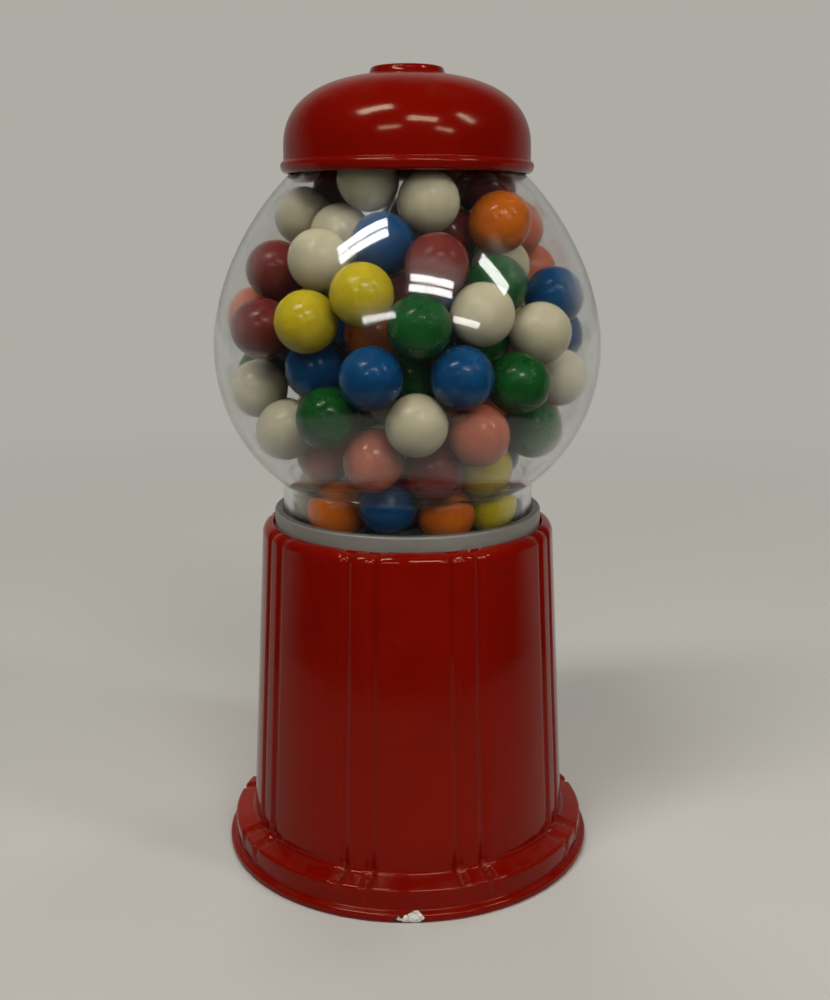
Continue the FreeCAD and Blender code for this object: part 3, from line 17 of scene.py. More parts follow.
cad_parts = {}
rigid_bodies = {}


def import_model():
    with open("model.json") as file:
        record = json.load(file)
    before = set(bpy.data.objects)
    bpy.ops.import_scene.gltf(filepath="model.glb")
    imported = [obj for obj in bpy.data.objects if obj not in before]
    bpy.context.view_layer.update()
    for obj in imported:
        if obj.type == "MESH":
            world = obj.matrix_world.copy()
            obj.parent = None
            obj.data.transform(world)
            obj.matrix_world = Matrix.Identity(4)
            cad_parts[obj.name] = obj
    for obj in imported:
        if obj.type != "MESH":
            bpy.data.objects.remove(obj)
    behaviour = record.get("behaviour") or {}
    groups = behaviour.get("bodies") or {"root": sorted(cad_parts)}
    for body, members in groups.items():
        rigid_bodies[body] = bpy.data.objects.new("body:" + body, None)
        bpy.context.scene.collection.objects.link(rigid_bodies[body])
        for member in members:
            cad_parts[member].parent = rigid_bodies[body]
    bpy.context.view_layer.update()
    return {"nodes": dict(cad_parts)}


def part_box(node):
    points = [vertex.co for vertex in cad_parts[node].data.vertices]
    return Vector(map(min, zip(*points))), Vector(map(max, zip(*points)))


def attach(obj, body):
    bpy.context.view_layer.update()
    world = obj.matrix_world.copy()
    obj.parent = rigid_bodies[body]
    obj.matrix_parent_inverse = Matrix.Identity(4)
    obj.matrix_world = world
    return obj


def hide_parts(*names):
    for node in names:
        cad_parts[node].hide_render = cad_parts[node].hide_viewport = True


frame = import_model()

LOG = logging.getLogger("gumball_machine")
MM = 0.001
# Points nearer than this are one point. Those of a cut plate are joined from a little farther.
NEAR = 0.001 * MM
PLATE_NEAR = 0.002 * MM
# A point with a smaller radius than this lies on the axis.
ON_AXIS = 1e-7
# The bulge of a quarter of a circle, as a share of half its chord.
QUARTER = 0.4142
# The sockets of a colour mix.
MIX_FACTOR, MIX_FIRST, MIX_SECOND, MIX_RESULT = 0, 6, 7, 2

Colour = tuple[float, float, float]
Point2 = tuple[float, float]
Point3 = tuple[float, float, float]
Socket = bpy.types.NodeSocket
Value = Union[Socket, float, Sequence[float]]
Piece = bpy.types.Object


def scaled(factor: float, values: Sequence[float]) -> list[float]:
    """Return a colour or a size times a factor."""
    return [factor * value for value in values]


class Cells(Enum):
    """What is measured among scattered points."""

    POINT = "F1"
    CRACK = "DISTANCE_TO_EDGE"


class Work(Enum):
    """What is done to a mesh with another one."""

    ADD = "UNION"
    CUT = "DIFFERENCE"


class Tree:
    """A tree of shader nodes, with short ways to add and join them."""

    def __init__(self, tree: bpy.types.NodeTree) -> None:
        """Take up a tree."""
        self.nodes, self.links = tree.nodes, tree.links

    def feed(self, socket: Socket, value: Value) -> None:
        """Join a socket to another one, or set its constant value.

        Args:
            socket: The input to feed.
            value: Another node's output, or a number, colour or vector.
        """
        if isinstance(value, bpy.types.NodeSocket):
            self.links.new(value, socket)
        elif isinstance(value, (int, float)):
            socket.default_value = value
        else:
            numbers = list(value)
            if socket.type == "RGBA":
                numbers = numbers + [1.0]
            socket.default_value = numbers

    def vector(self, operation: str, first: Value, second: Value, output: str = "Vector") -> Socket:
        """Add a step of vector arithmetic.

        Args:
            operation: The step's name.
            first: The first vector.
            second: The second vector.
            output: Which result is wanted, Vector or Value.

        Returns:
            The result.
        """
        node = self.nodes.new("ShaderNodeVectorMath")
        node.operation = operation
        self.feed(node.inputs[0], first)
        self.feed(node.inputs[1], second)
        return node.outputs[output]

    def math(self, operation: str, first: Value, second: Value, held: bool = True) -> Socket:
        """Add a step of arithmetic.

        Args:
            operation: The step's name.
            first: The first number.
            second: The second number.
            held: Whether the result is held between 0 and 1.

        Returns:
            The result.
        """
        node = self.nodes.new("ShaderNodeMath")
        node.operation = operation
        node.use_clamp = held
        self.feed(node.inputs[0], first)
        self.feed(node.inputs[1], second)
        return node.outputs[0]

    def remap(self, value: Value, start: float, end: float, low: float = 0.0,
              high: float = 1.0) -> Socket:
        """Stretch a range of a value to another range.

        Args:
            value: The value to stretch.
            start: Where the range begins; it may lie above the end.
            end: Where the range ends.
            low: The result at the beginning.
            high: The result at the end.

        Returns:
            The stretched value, which stays between low and high.
        """
        node = self.nodes.new("ShaderNodeMapRange")
        self.feed(node.inputs["Value"], value)
        self.feed(node.inputs["From Min"], start)
        self.feed(node.inputs["From Max"], end)
        self.feed(node.inputs["To Min"], low)
        self.feed(node.inputs["To Max"], high)
        return node.outputs["Result"]

    def blend(self, factor: Value, first: Value, second: Value) -> Socket:
        """Mix two colours.

        Args:
            factor: 0 for the first colour, 1 for the second.
            first: The first colour.
            second: The second colour.

        Returns:
            The mixed colour.
        """
        node = self.nodes.new("ShaderNodeMix")
        node.data_type = "RGBA"
        self.feed(node.inputs[MIX_FACTOR], factor)
        self.feed(node.inputs[MIX_FIRST], first)
        self.feed(node.inputs[MIX_SECOND], second)
        return node.outputs[MIX_RESULT]


class Graph(Tree):
    """The node tree of one material, with the patterns that the finishes are made of."""

    def __init__(self, name: str) -> None:
        """Start a material that has one shader.

        Args:
            name: The material's name.
        """
        self.material = bpy.data.materials.new(name)
        self.material.use_nodes = True
        super().__init__(self.material.node_tree)
        self.nodes.clear()
        self.shader = self.nodes.new("ShaderNodeBsdfPrincipled")
        self.output = self.nodes.new("ShaderNodeOutputMaterial")
        self.links.new(self.shader.outputs["BSDF"], self.output.inputs["Surface"])
        self.place = self.nodes.new("ShaderNodeTexCoord").outputs["Object"]

    def set(self, **values: Value) -> None:
        """Feed the shader's sockets, named with underscores for spaces."""
        for name, value in values.items():
            self.feed(self.shader.inputs[name.replace("_", " ")], value)

    def noise(self, scale: float, detail: float = 3.0, warp: float = 0.0,
              at: Optional[Socket] = None) -> Socket:
        """Add soft random clouds.

        Args:
            scale: Clouds per metre.
            detail: Octaves of finer clouds.
            warp: How far the clouds are pulled about.
            at: The coordinates, or none for the piece's own.

        Returns:
            A value from about 0.2 to 0.8.
        """
        node = self.nodes.new("ShaderNodeTexNoise")
        self.feed(node.inputs["Vector"], at or self.place)
        self.feed(node.inputs["Scale"], scale)
        self.feed(node.inputs["Detail"], detail)
        self.feed(node.inputs["Distortion"], warp)
        return node.outputs[0]

    def cells(self, scale: float, feature: Cells = Cells.POINT, at: Optional[Socket] = None) -> Socket:
        """Add scattered points.

        Args:
            scale: Points per metre.
            feature: The nearest point, or the crack between the cells.
            at: The coordinates, or none for the piece's own.

        Returns:
            The distance, in cells.
        """
        node = self.nodes.new("ShaderNodeTexVoronoi")
        node.feature = feature.value
        self.feed(node.inputs["Vector"], at or self.place)
        self.feed(node.inputs["Scale"], scale)
        return node.outputs["Distance"]

    def specks(self, scale: float, edge: Point2, patches: Socket) -> Socket:
        """Scatter specks that gather in patches.

        Args:
            scale: Specks per metre.
            edge: Where a speck ends and where it is full, in cells from its middle.
            patches: How full of specks each place is, from 0 to 1.

        Returns:
            1 in a speck, 0 elsewhere.
        """
        return self.math("MULTIPLY", self.remap(self.cells(scale), *edge), patches)

    def stretched(self, scale: Point3) -> Socket:
        """Return the piece's own coordinates, scaled on each axis."""
        return self.vector("MULTIPLY", self.place, scale)

    def spot(self, centre: Point3, reach: Point3, ragged: float = 0.0) -> Socket:
        """Mask a patch around a point of the piece.

        Args:
            centre: The middle of the patch.
            reach: Half its size on each axis.
            ragged: How uneven its edge is.

        Returns:
            1 inside the patch, 0 outside.
        """
        offset = self.vector("SUBTRACT", self.place, centre)
        distance = self.vector("LENGTH", self.vector("DIVIDE", offset, reach), (0.0, 0.0, 0.0), "Value")
        soft_edge = 0.86
        if ragged:
            wander = self.remap(self.noise(480.0, 2.0), 0.3, 0.7, -ragged, ragged)
            distance = self.math("ADD", distance, wander, held=False)
        return self.remap(distance, 1.0, soft_edge)

    def facing_up(self, low: float, high: float) -> Socket:
        """Find where the surface faces up.

        Args:
            low: The normal's upright part where the change begins.
            high: The normal's upright part where it ends.

        Returns:
            1 where the surface faces up, 0 elsewhere.
        """
        normal = self.nodes.new("ShaderNodeNewGeometry").outputs["Normal"]
        split = self.nodes.new("ShaderNodeSeparateXYZ")
        self.feed(split.inputs[0], normal)
        return self.remap(split.outputs["Z"], low, high)

    def grazing(self, low: float, high: float) -> Socket:
        """Return 1 where the surface is seen edge on, with a soft change between two limits."""
        return self.remap(self.nodes.new("ShaderNodeLayerWeight").outputs["Facing"], low, high)

    def absorb(self, colour: Colour, density: float) -> None:
        """Tint the light that goes a long way through the piece.

        Args:
            colour: The tint.
            density: How strong it is, for each metre.
        """
        node = self.nodes.new("ShaderNodeVolumeAbsorption")
        self.feed(node.inputs["Color"], colour)
        self.feed(node.inputs["Density"], density)
        self.links.new(node.outputs["Volume"], self.output.inputs["Volume"])

    def attribute(self, name: str) -> Socket:
        """Read a value that is stored on the mesh's points.

        Args:
            name: The value's name.

        Returns:
            The value.
        """
        node = self.nodes.new("ShaderNodeAttribute")
        node.attribute_name = name
        return node.outputs["Fac"]

    def relief(self, *layers: tuple[Socket, float]) -> None:
        """Give the surface fine bumps.

        Args:
            layers: Heights, each with its depth in metres.
        """
        normal = None
        for height, depth in layers:
            node = self.nodes.new("ShaderNodeBump")
            self.feed(node.inputs["Strength"], 1.0)
            self.feed(node.inputs["Distance"], depth)
            self.feed(node.inputs["Height"], height)
            if normal is not None:
                self.feed(node.inputs["Normal"], normal)
            normal = node.outputs["Normal"]
        self.set(Normal=normal)


@dataclass(frozen=True)
class Mark:
    """A chip in the paint: where it is, how far it reaches and what shows in it."""

    centre: Point3
    reach: Point3
    colour: Colour
    cracked: bool = False


@dataclass(frozen=True)
class Enamel:
    """Glossy stoved paint, a little uneven, with dust in its hollows and a few chips."""

    name: str
    colour: Colour
    shade: Colour
    gloss: float = 0.07
    marks: tuple[Mark, ...] = ()
    dust: Colour = (0.13, 0.055, 0.036)

    def material(self) -> bpy.types.Material:
        """Mix the paint's finish.

        Returns:
            The material.
        """
        graph = Graph(self.name)
        tone = graph.remap(graph.noise(38.0, 4.0, 0.4), 0.34, 0.66)
        colour = graph.blend(tone, self.shade, self.colour)
        speck = graph.specks(420.0, (0.10, 0.04), graph.remap(graph.noise(70.0, 2.0), 0.54, 0.62))
        up = graph.facing_up(0.55, 0.95)
        film = graph.math("MULTIPLY", up, graph.remap(graph.noise(160.0, 5.0), 0.40, 0.75, 0.0, 0.16))
        crumbs = graph.remap(graph.noise(900.0, 3.0), 0.45, 0.60)
        hollow = graph.math("MULTIPLY", graph.attribute("hollow"), crumbs)
        dirt = graph.math("MAXIMUM", graph.math("MAXIMUM", graph.math("MULTIPLY", speck, 0.5), film),
                          graph.math("MULTIPLY", hollow, 0.4))
        colour = graph.blend(dirt, colour, self.dust)
        smudge = graph.remap(graph.noise(24.0, 6.0, 0.8), 0.40, 0.72, self.gloss, self.gloss + 0.09)
        roughness = graph.math("ADD", smudge, graph.math("MULTIPLY", dirt, 0.5))
        ragged = 0.36
        for mark in self.marks:
            mask = graph.spot(mark.centre, mark.reach, ragged)
            inside: Value = mark.colour
            if mark.cracked:
                rim = graph.spot(mark.centre, scaled(1.16, mark.reach), ragged)
                colour = graph.blend(rim, colour, (0.040, 0.006, 0.004))
                crack = graph.remap(graph.cells(430.0, Cells.CRACK), 0.0, 0.03)
                grain = graph.remap(graph.noise(1500.0, 3.0), 0.35, 0.65)
                pale = graph.blend(grain, scaled(0.72, mark.colour), mark.colour)
                inside = graph.blend(crack, (0.035, 0.02, 0.016), pale)
            colour = graph.blend(mask, colour, inside)
            roughness = graph.math("ADD", roughness, graph.math("MULTIPLY", mask, 0.5))
        peel = graph.noise(520.0, 2.0)
        wave = graph.noise(110.0, 2.0)
        graph.set(Base_Color=colour, Roughness=roughness, IOR=1.5, Specular_IOR_Level=0.19,
                  Specular_Tint=(1.0, 0.86, 0.60))
        graph.relief((wave, 0.05 * MM), (peel, 0.012 * MM))
        return graph.material


@dataclass(frozen=True)
class ClearGlass:
    """Clear moulded globe, with dust specks and faint wipe marks on its outside."""

    name: str = "clear_globe"
    dust: Colour = (0.30, 0.28, 0.24)

    def material(self) -> bpy.types.Material:
        """Mix the globe's finish.

        Returns:
            The material.
        """
        graph = Graph(self.name)
        speck = graph.specks(820.0, (0.14, 0.05), graph.remap(graph.noise(60.0, 3.0), 0.48, 0.60))
        gritty = graph.remap(graph.noise(130.0, 4.0), 0.48, 0.66, 0.0, 0.24)
        grain = graph.specks(1900.0, (0.20, 0.10), gritty)
        speck = graph.math("MAXIMUM", speck, grain)
        lint = graph.remap(graph.cells(110.0, at=graph.stretched((1.0, 1.0, 4.0))), 0.022, 0.010)
        streaks = graph.noise(230.0, 5.0, 0.6, graph.stretched((1.0, 1.0, 0.55)))
        rubbed = graph.remap(streaks, 0.42, 0.66, 0.0, 0.22)
        film = graph.math("MULTIPLY", rubbed, graph.grazing(0.45, 0.95))
        dirt = graph.math("MAXIMUM", graph.math("MULTIPLY", speck, 0.26), lint)
        dirt = graph.math("MAXIMUM", dirt, film)
        outside = graph.attribute("outside")
        dirt = graph.math("MULTIPLY", dirt, outside)
        wipe = graph.remap(graph.noise(60.0, 5.0, 1.2), 0.50, 0.72, 0.05, 0.10)
        wipe = graph.math("MULTIPLY", wipe, outside)
        roughness = graph.math("ADD", wipe, graph.math("MULTIPLY", dirt, 0.5))
        graph.set(Base_Color=graph.blend(dirt, (1.0, 1.0, 1.0), self.dust),
                  Transmission_Weight=graph.math("SUBTRACT", 1.0, graph.math("MULTIPLY", dirt, 0.8)),
                  Roughness=roughness, IOR=1.47, Coat_Weight=0.08, Coat_Roughness=0.135)
        graph.absorb((0.70, 0.73, 0.72), 100.0)
        graph.relief((graph.noise(70.0, 2.0), 0.03 * MM))
        return graph.material


@dataclass(frozen=True)
class Chrome:
    """Bright plating with finger marks and hair scratches."""

    name: str = "chrome_plating"
    colour: Colour = (0.70, 0.70, 0.69)

    def material(self) -> bpy.types.Material:
        """Mix the plating's finish.

        Returns:
            The material.
        """
        graph = Graph(self.name)
        stain = graph.remap(graph.noise(90.0, 5.0, 0.7), 0.42, 0.70)
        colour = graph.blend(stain, self.colour, scaled(0.82, self.colour))
        scratch = graph.noise(60.0, 2.0, at=graph.stretched((1.0, 9.0, 38.0)))
        pit = graph.specks(700.0, (0.10, 0.05), graph.remap(graph.noise(110.0, 2.0), 0.56, 0.62))
        graph.set(Base_Color=graph.blend(pit, colour, (0.16, 0.13, 0.10)), Metallic=1.0,
                  Roughness=graph.math("ADD", graph.remap(stain, 0.0, 1.0, 0.07, 0.22),
                                       graph.math("MULTIPLY", pit, 0.4)))
        graph.relief((scratch, 0.01 * MM), (graph.noise(140.0, 2.0), 0.02 * MM))
        return graph.material


@dataclass(frozen=True)
class PlainMetal:
    """Plated or bare metal of the inner pieces, with rolling marks and dull patches."""

    name: str
    colour: Colour
    stain: Colour
    roughness: float

    def material(self) -> bpy.types.Material:
        """Mix the metal's finish.

        Returns:
            The material.
        """
        graph = Graph(self.name)
        patch = graph.remap(graph.noise(120.0, 5.0, 0.5), 0.36, 0.70)
        rolled = graph.noise(50.0, 3.0, at=graph.stretched((1.0, 1.0, 26.0)))
        graph.set(Base_Color=graph.blend(patch, self.colour, self.stain), Metallic=1.0,
                  Roughness=graph.remap(patch, 0.0, 1.0, self.roughness, self.roughness + 0.18))
        graph.relief((rolled, 0.02 * MM), (graph.noise(900.0, 2.0), 0.008 * MM))
        return graph.material


@dataclass(frozen=True)
class MouldedPlastic:
    """Moulded plastic or rubber with flow marks and a fine grain."""

    name: str
    colour: Colour
    shade: Colour
    roughness: float = 0.42
    grain: float = 0.02
    milk: float = 0.0

    def material(self) -> bpy.types.Material:
        """Mix the plastic's finish.

        Returns:
            The material.
        """
        graph = Graph(self.name)
        flow = graph.remap(graph.noise(30.0, 4.0, 1.5), 0.35, 0.65)
        colour = graph.blend(flow, self.shade, self.colour)
        dust = graph.math("MULTIPLY", graph.facing_up(0.6, 1.0),
                          graph.remap(graph.noise(300.0, 5.0), 0.46, 0.72, 0.0, 0.35))
        polish = graph.remap(graph.noise(85.0, 4.0), 0.3, 0.7, self.roughness - 0.07, self.roughness + 0.08)
        graph.set(Base_Color=graph.blend(dust, colour, (0.20, 0.18, 0.15)), Roughness=polish, IOR=1.49)
        if self.milk:
            graph.set(Subsurface_Weight=self.milk, Subsurface_Scale=0.002)
        graph.relief((graph.noise(1600.0, 2.0), self.grain * MM), (graph.noise(60.0, 2.0), 0.04 * MM))
        return graph.material


@dataclass(frozen=True)
class FrostedPlastic:
    """Grey see-through plastic of the seat ring, scuffed to a dull frost, with painted shade on its rounded
    top edge and a darker painted shade on its flat top.
    """

    name: str = "frosted_ring"
    colour: Colour = (0.172, 0.163, 0.143)
    # The edge colour is painted shade that tones down the highlight on the rounded top edge, and it also
    # tints the scuffs. The top colour is painted shade on the flat top.
    edge: Colour = (0.150, 0.144, 0.130)
    top: Colour = (0.062, 0.060, 0.054)

    def material(self) -> bpy.types.Material:
        """Mix the ring's finish.

        Returns:
            The material.
        """
        graph = Graph(self.name)
        cloud = graph.remap(graph.noise(55.0, 5.0, 0.5), 0.34, 0.68)
        colour = graph.blend(cloud, scaled(0.82, self.colour), self.colour)
        # Painted shade by facing: the rounded top edge takes the edge colour, and the flat top, which faces
        # up, takes the much darker top colour.
        colour = graph.blend(graph.facing_up(0.20, 0.55), colour, self.edge)
        colour = graph.blend(graph.facing_up(0.80, 0.95), colour, self.top)
        scratches = graph.noise(240.0, 4.0, at=graph.stretched((1.0, 1.0, 6.0)))
        scuff = graph.remap(scratches, 0.52, 0.72, 0.0, 0.22)
        graph.set(Base_Color=graph.blend(scuff, colour, self.edge),
                  Roughness=graph.remap(cloud, 0.0, 1.0, 0.34, 0.48),
                  IOR=1.45, Subsurface_Weight=0.15, Subsurface_Scale=0.002)
        graph.relief((graph.noise(1300.0, 3.0), 0.02 * MM), (graph.noise(90.0, 2.0), 0.04 * MM))
        return graph.material


@dataclass(frozen=True)
class Candy:
    """Pressed candy shell: clouded dye, fine speckle and a waxy shine."""

    name: str
    colour: Colour
    deep: Colour
    speckle: Colour
    fleck: Colour
    amount: float

    def material(self) -> bpy.types.Material:
        """Mix the shell's finish.

        Returns:
            The material.
        """
        graph = Graph(self.name)
        cloud = graph.remap(graph.noise(150.0, 2.0), 0.36, 0.66, 0.22, 0.78)
        colour = graph.blend(cloud, self.deep, self.colour)
        fine = graph.remap(graph.noise(2200.0, 2.0), 0.40, 0.62, 0.0, self.amount)
        colour = graph.blend(fine, colour, self.speckle)
        flecked = graph.remap(graph.noise(150.0, 2.0), 0.56, 0.64, 0.0, 0.5)
        fleck = graph.specks(560.0, (0.13, 0.07), flecked)
        graph.set(Base_Color=graph.blend(fleck, colour, self.fleck),
                  Roughness=graph.remap(graph.noise(240.0, 3.0), 0.36, 0.66, 0.08, 0.14), IOR=1.47,
                  Specular_IOR_Level=0.36)
        graph.relief((graph.noise(260.0, 1.0), 0.014 * MM), (graph.noise(2200.0, 1.0), 0.002 * MM))
        return graph.material


class Shell(Enum):
    """The gumballs' colours."""

    WHITE = Candy("candy_white", colour=(0.268, 0.246, 0.168), deep=(0.222, 0.199, 0.131),
                  speckle=(0.206, 0.181, 0.114), fleck=(0.07, 0.05, 0.03), amount=0.6)
    MAROON = Candy("candy_maroon", colour=(0.070, 0.0080, 0.0060), deep=(0.042, 0.0045, 0.0035),
                   speckle=(0.115, 0.020, 0.016), fleck=(0.02, 0.004, 0.004), amount=0.5)
    BLUE = Candy("candy_blue", colour=(0.0004, 0.0215, 0.066), deep=(0.0003, 0.0125, 0.040),
                 speckle=(0.002, 0.048, 0.120), fleck=(0.001, 0.006, 0.02), amount=0.42)
    GREEN = Candy("candy_green", colour=(0.0015, 0.0330, 0.0042), deep=(0.0008, 0.0180, 0.0022),
                  speckle=(0.006, 0.066, 0.012), fleck=(0.001, 0.008, 0.002), amount=0.42)
    YELLOW = Candy("candy_yellow", colour=(0.226, 0.171, 0.0024), deep=(0.178, 0.129, 0.0016),
                   speckle=(0.29, 0.230, 0.012), fleck=(0.10, 0.05, 0.002), amount=0.7)
    ORANGE = Candy("candy_orange", colour=(0.232, 0.047, 0.0014), deep=(0.174, 0.031, 0.0010),
                   speckle=(0.28, 0.070, 0.004), fleck=(0.08, 0.014, 0.001), amount=0.7)
    CORAL = Candy("candy_coral", colour=(0.236, 0.060, 0.033), deep=(0.165, 0.038, 0.021),
                  speckle=(0.28, 0.090, 0.054), fleck=(0.09, 0.02, 0.012), amount=0.7)


class Profile:
    """An outline in radius and height, drawn with straight runs, arcs and ovals."""

    def __init__(self, radius: float, height: float) -> None:
        """Start at a point."""
        self.points: list[Point2] = [(radius, height)]

    def to(self, radius: float, height: float, steps: int = 1) -> "Profile":
        """Draw a straight run to a point.

        Args:
            radius: The end's radius.
            height: The end's height.
            steps: The number of steps.

        Returns:
            The profile itself.
        """
        r, z = self.points[-1]
        for step in range(1, steps + 1):
            part = step / steps
            self.points.append((r + (radius - r) * part, z + (height - z) * part))
        return self

    def arc(self, radius: float, height: float, bulge: float, steps: int = 6) -> "Profile":
        """Draw an arc to a point.

        Args:
            radius: The end's radius.
            height: The end's height.
            bulge: How far the arc swells to the right of its chord, as a share of half the chord.
            steps: The number of steps.

        Returns:
            The profile itself.
        """
        start = Vector(self.points[-1])
        end = Vector((radius, height))
        along = (end - start).normalized()
        right = Vector((along.y, -along.x))
        half = (end - start).length / 2
        rise = bulge * half
        reach = (half * half + rise * rise) / (2 * rise)
        centre = (start + end) / 2 - right * (reach - rise)
        sweep = math.asin(max(-1.0, min(1.0, half / reach)))
        for step in range(1, steps + 1):
            turn = sweep * (2 * step / steps - 1)
            point = centre + right * (reach * math.cos(turn)) + along * (reach * math.sin(turn))
            self.points.append((point.x, point.y))
        return self

    def oval(self, oval: "Oval", start: float, end: float, steps: int) -> "Profile":
        """Follow an oval from one radius to another.

        Args:
            oval: The oval.
            start: The radius at the beginning.
            end: The radius at the end.
            steps: The number of steps.

        Returns:
            The profile itself.
        """
        first, last = oval.turn(start), oval.turn(end)
        for step in range(steps + 1):
            point = oval.point(first + (last - first) * step / steps)
            if (Vector(point) - Vector(self.points[-1])).length > NEAR:
                self.points.append(point)
        return self


@dataclass(frozen=True)
class Oval:
    """A quarter of a rounded oval above or below its middle."""

    radius: float
    rise: float
    power: float
    middle: float
    way: int = 1

    def turn(self, radius: float) -> float:
        """Return the oval's own angle at a radius."""
        return math.acos(max(0.0, min(1.0, radius / self.radius)) ** (self.power / 2))

    def point(self, turn: float) -> Point2:
        """Find a point of the oval.

        Args:
            turn: The oval's own angle.

        Returns:
            The radius and the height.
        """
        exponent = 2 / self.power
        return (self.radius * max(0.0, math.cos(turn)) ** exponent,
                self.middle + self.way * self.rise * max(0.0, math.sin(turn)) ** exponent)

    def height(self, radius: float) -> float:
        """Return the height at a radius."""
        return self.point(self.turn(radius))[1]


class Bench:
    """Makes meshes into pieces of the machine."""

    @staticmethod
    def piece(name: str, mesh: bpy.types.Mesh, crease: float = 34.0) -> Piece:
        """Show a mesh as a smooth piece.

        Args:
            name: The piece's name.
            mesh: Its mesh.
            crease: The angle, in degrees, from which an edge stays sharp.

        Returns:
            The piece.
        """
        mesh.name = name
        mesh.shade_smooth()
        mesh.set_sharp_from_angle(angle=math.radians(crease))
        piece = bpy.data.objects.new(name, mesh)
        bpy.context.scene.collection.objects.link(piece)
        return piece

    @staticmethod
    def mesh(points: Sequence[Point3], faces: Sequence[Sequence[int]]) -> bpy.types.Mesh:
        """Make a mesh.

        Args:
            points: Its points.
            faces: The points of each face, by number.

        Returns:
            The mesh.
        """
        mesh = bpy.data.meshes.new("mesh")
        mesh.from_pydata(points, [], faces)
        mesh.update()
        return mesh

    @staticmethod
    def lathe(outline: Sequence[Point2], turns: int = 128) -> bpy.types.Mesh:
        """Spin an outline about the Z axis.

        Args:
            outline: Radius and height of each point, up the outside first.
            turns: The number of steps round.

        Returns:
            A closed mesh.
        """
        points: list[Point3] = []
        rings: list[list[int]] = []
        for radius, height in outline:
            start = len(points)
            if radius < ON_AXIS:
                points.append((0.0, 0.0, height))
                rings.append([start] * turns)
                continue
            for step in range(turns):
                angle = math.tau * step / turns
                points.append((radius * math.cos(angle), radius * math.sin(angle), height))
            rings.append(list(range(start, start + turns)))
        faces = []
        ends_on_axis = outline[0][0] < ON_AXIS and outline[-1][0] < ON_AXIS
        for rank in range(len(rings) - (1 if ends_on_axis else 0)):
            low, high = rings[rank], rings[(rank + 1) % len(rings)]
            for step in range(turns):
                after = (step + 1) % turns
                corners = [low[step], low[after], high[after], high[step]]
                corners = [corner for turn, corner in enumerate(corners) if corner not in corners[:turn]]
                if len(corners) > 2:
                    faces.append(corners)
        return Bench.mesh(points, faces)

    @staticmethod
    def plate(outlines: Sequence[Sequence[Point2]], thickness: float, rounding: float) -> bpy.types.Mesh:
        """Cut a plate with rounded edges, flat on the XY plane.

        Args:
            outlines: The rim first, then the holes.
            thickness: The plate's thickness, half of it above the plane.
            rounding: The radius of its edges.

        Returns:
            A closed mesh.
        """
        curve = bpy.data.curves.new("outline", "CURVE")
        curve.dimensions = "2D"
        curve.fill_mode = "BOTH"
        curve.extrude = thickness / 2 - rounding
        curve.bevel_depth = rounding
        curve.bevel_resolution = 3
        curve.offset = -rounding
        for outline in outlines:
            spline = curve.splines.new("POLY")
            spline.points.add(len(outline) - 1)
            for point, (x, y) in zip(spline.points, outline):
                point.co = (x, y, 0.0, 1.0)
            spline.use_cyclic_u = True
        holder = bpy.data.objects.new("outline", curve)
        bpy.context.scene.collection.objects.link(holder)
        mesh = bpy.data.meshes.new_from_object(holder.evaluated_get(bpy.context.evaluated_depsgraph_get()))
        bpy.data.objects.remove(holder)
        work = bmesh.new()
        work.from_mesh(mesh)
        bmesh.ops.remove_doubles(work, verts=work.verts, dist=PLATE_NEAR)
        bmesh.ops.recalc_face_normals(work, faces=work.faces)
        work.to_mesh(mesh)
        work.free()
        return mesh

    @staticmethod
    def block(low: Point3, high: Point3, rounding: float = 0.0) -> bpy.types.Mesh:
        """Make a block.

        Args:
            low: Its lowest corner.
            high: Its highest corner.
            rounding: The radius of its edges.

        Returns:
            A closed mesh.
        """
        work = bmesh.new()
        bmesh.ops.create_cube(work, size=1.0)
        for vertex in work.verts:
            for axis in range(3):
                vertex.co[axis] = low[axis] if vertex.co[axis] < 0 else high[axis]
        if rounding:
            bmesh.ops.bevel(work, geom=work.edges[:], offset=rounding, segments=4, profile=0.5,
                            affect="EDGES")
        bmesh.ops.recalc_face_normals(work, faces=work.faces)
        mesh = bpy.data.meshes.new("block")
        work.to_mesh(mesh)
        work.free()
        return mesh

    @staticmethod
    def together(meshes: Iterable[bpy.types.Mesh]) -> bpy.types.Mesh:
        """Put several meshes into one.

        Args:
            meshes: The meshes, which are used up.

        Returns:
            The whole mesh.
        """
        work = bmesh.new()
        for mesh in meshes:
            work.from_mesh(mesh)
            bpy.data.meshes.remove(mesh)
        whole = bpy.data.meshes.new("whole")
        work.to_mesh(whole)
        work.free()
        return whole

    @staticmethod
    def worked(mesh: bpy.types.Mesh, steps: Sequence[tuple[Work, bpy.types.Mesh]]) -> bpy.types.Mesh:
        """Add closed meshes to a closed mesh, or cut them from it.

        Args:
            mesh: The mesh to work on.
            steps: What is done, each time with its mesh, in order.

        Returns:
            The worked mesh.
        """
        holder = bpy.data.objects.new("work", mesh)
        bpy.context.scene.collection.objects.link(holder)
        tools = []
        for step, tool_mesh in steps:
            tool = bpy.data.objects.new("tool", tool_mesh)
            bpy.context.scene.collection.objects.link(tool)
            modifier = holder.modifiers.new("step", "BOOLEAN")
            modifier.operation = step.value
            modifier.solver = "EXACT"
            modifier.object = tool
            tools.append(tool)
        done = bpy.data.meshes.new_from_object(holder.evaluated_get(bpy.context.evaluated_depsgraph_get()))
        for item in [holder, *tools]:
            bpy.data.objects.remove(item)
        return done

    @staticmethod
    def dress(piece: Piece, body: str, nodes: Sequence[str], slot: str,
              material: bpy.types.Material) -> Piece:
        """Put a piece in its node's place.

        Args:
            piece: The new piece.
            body: The body that it moves with.
            nodes: The nodes that it stands for.
            slot: The record's slot for its finish; not used.
            material: Its material.

        Returns:
            The piece.
        """
        piece.data.materials.clear()
        piece.data.materials.append(material)
        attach(piece, body)
        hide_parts(*nodes)
        LOG.info("%s: %d points, on %s", piece.name, len(piece.data.vertices), body)
        return piece


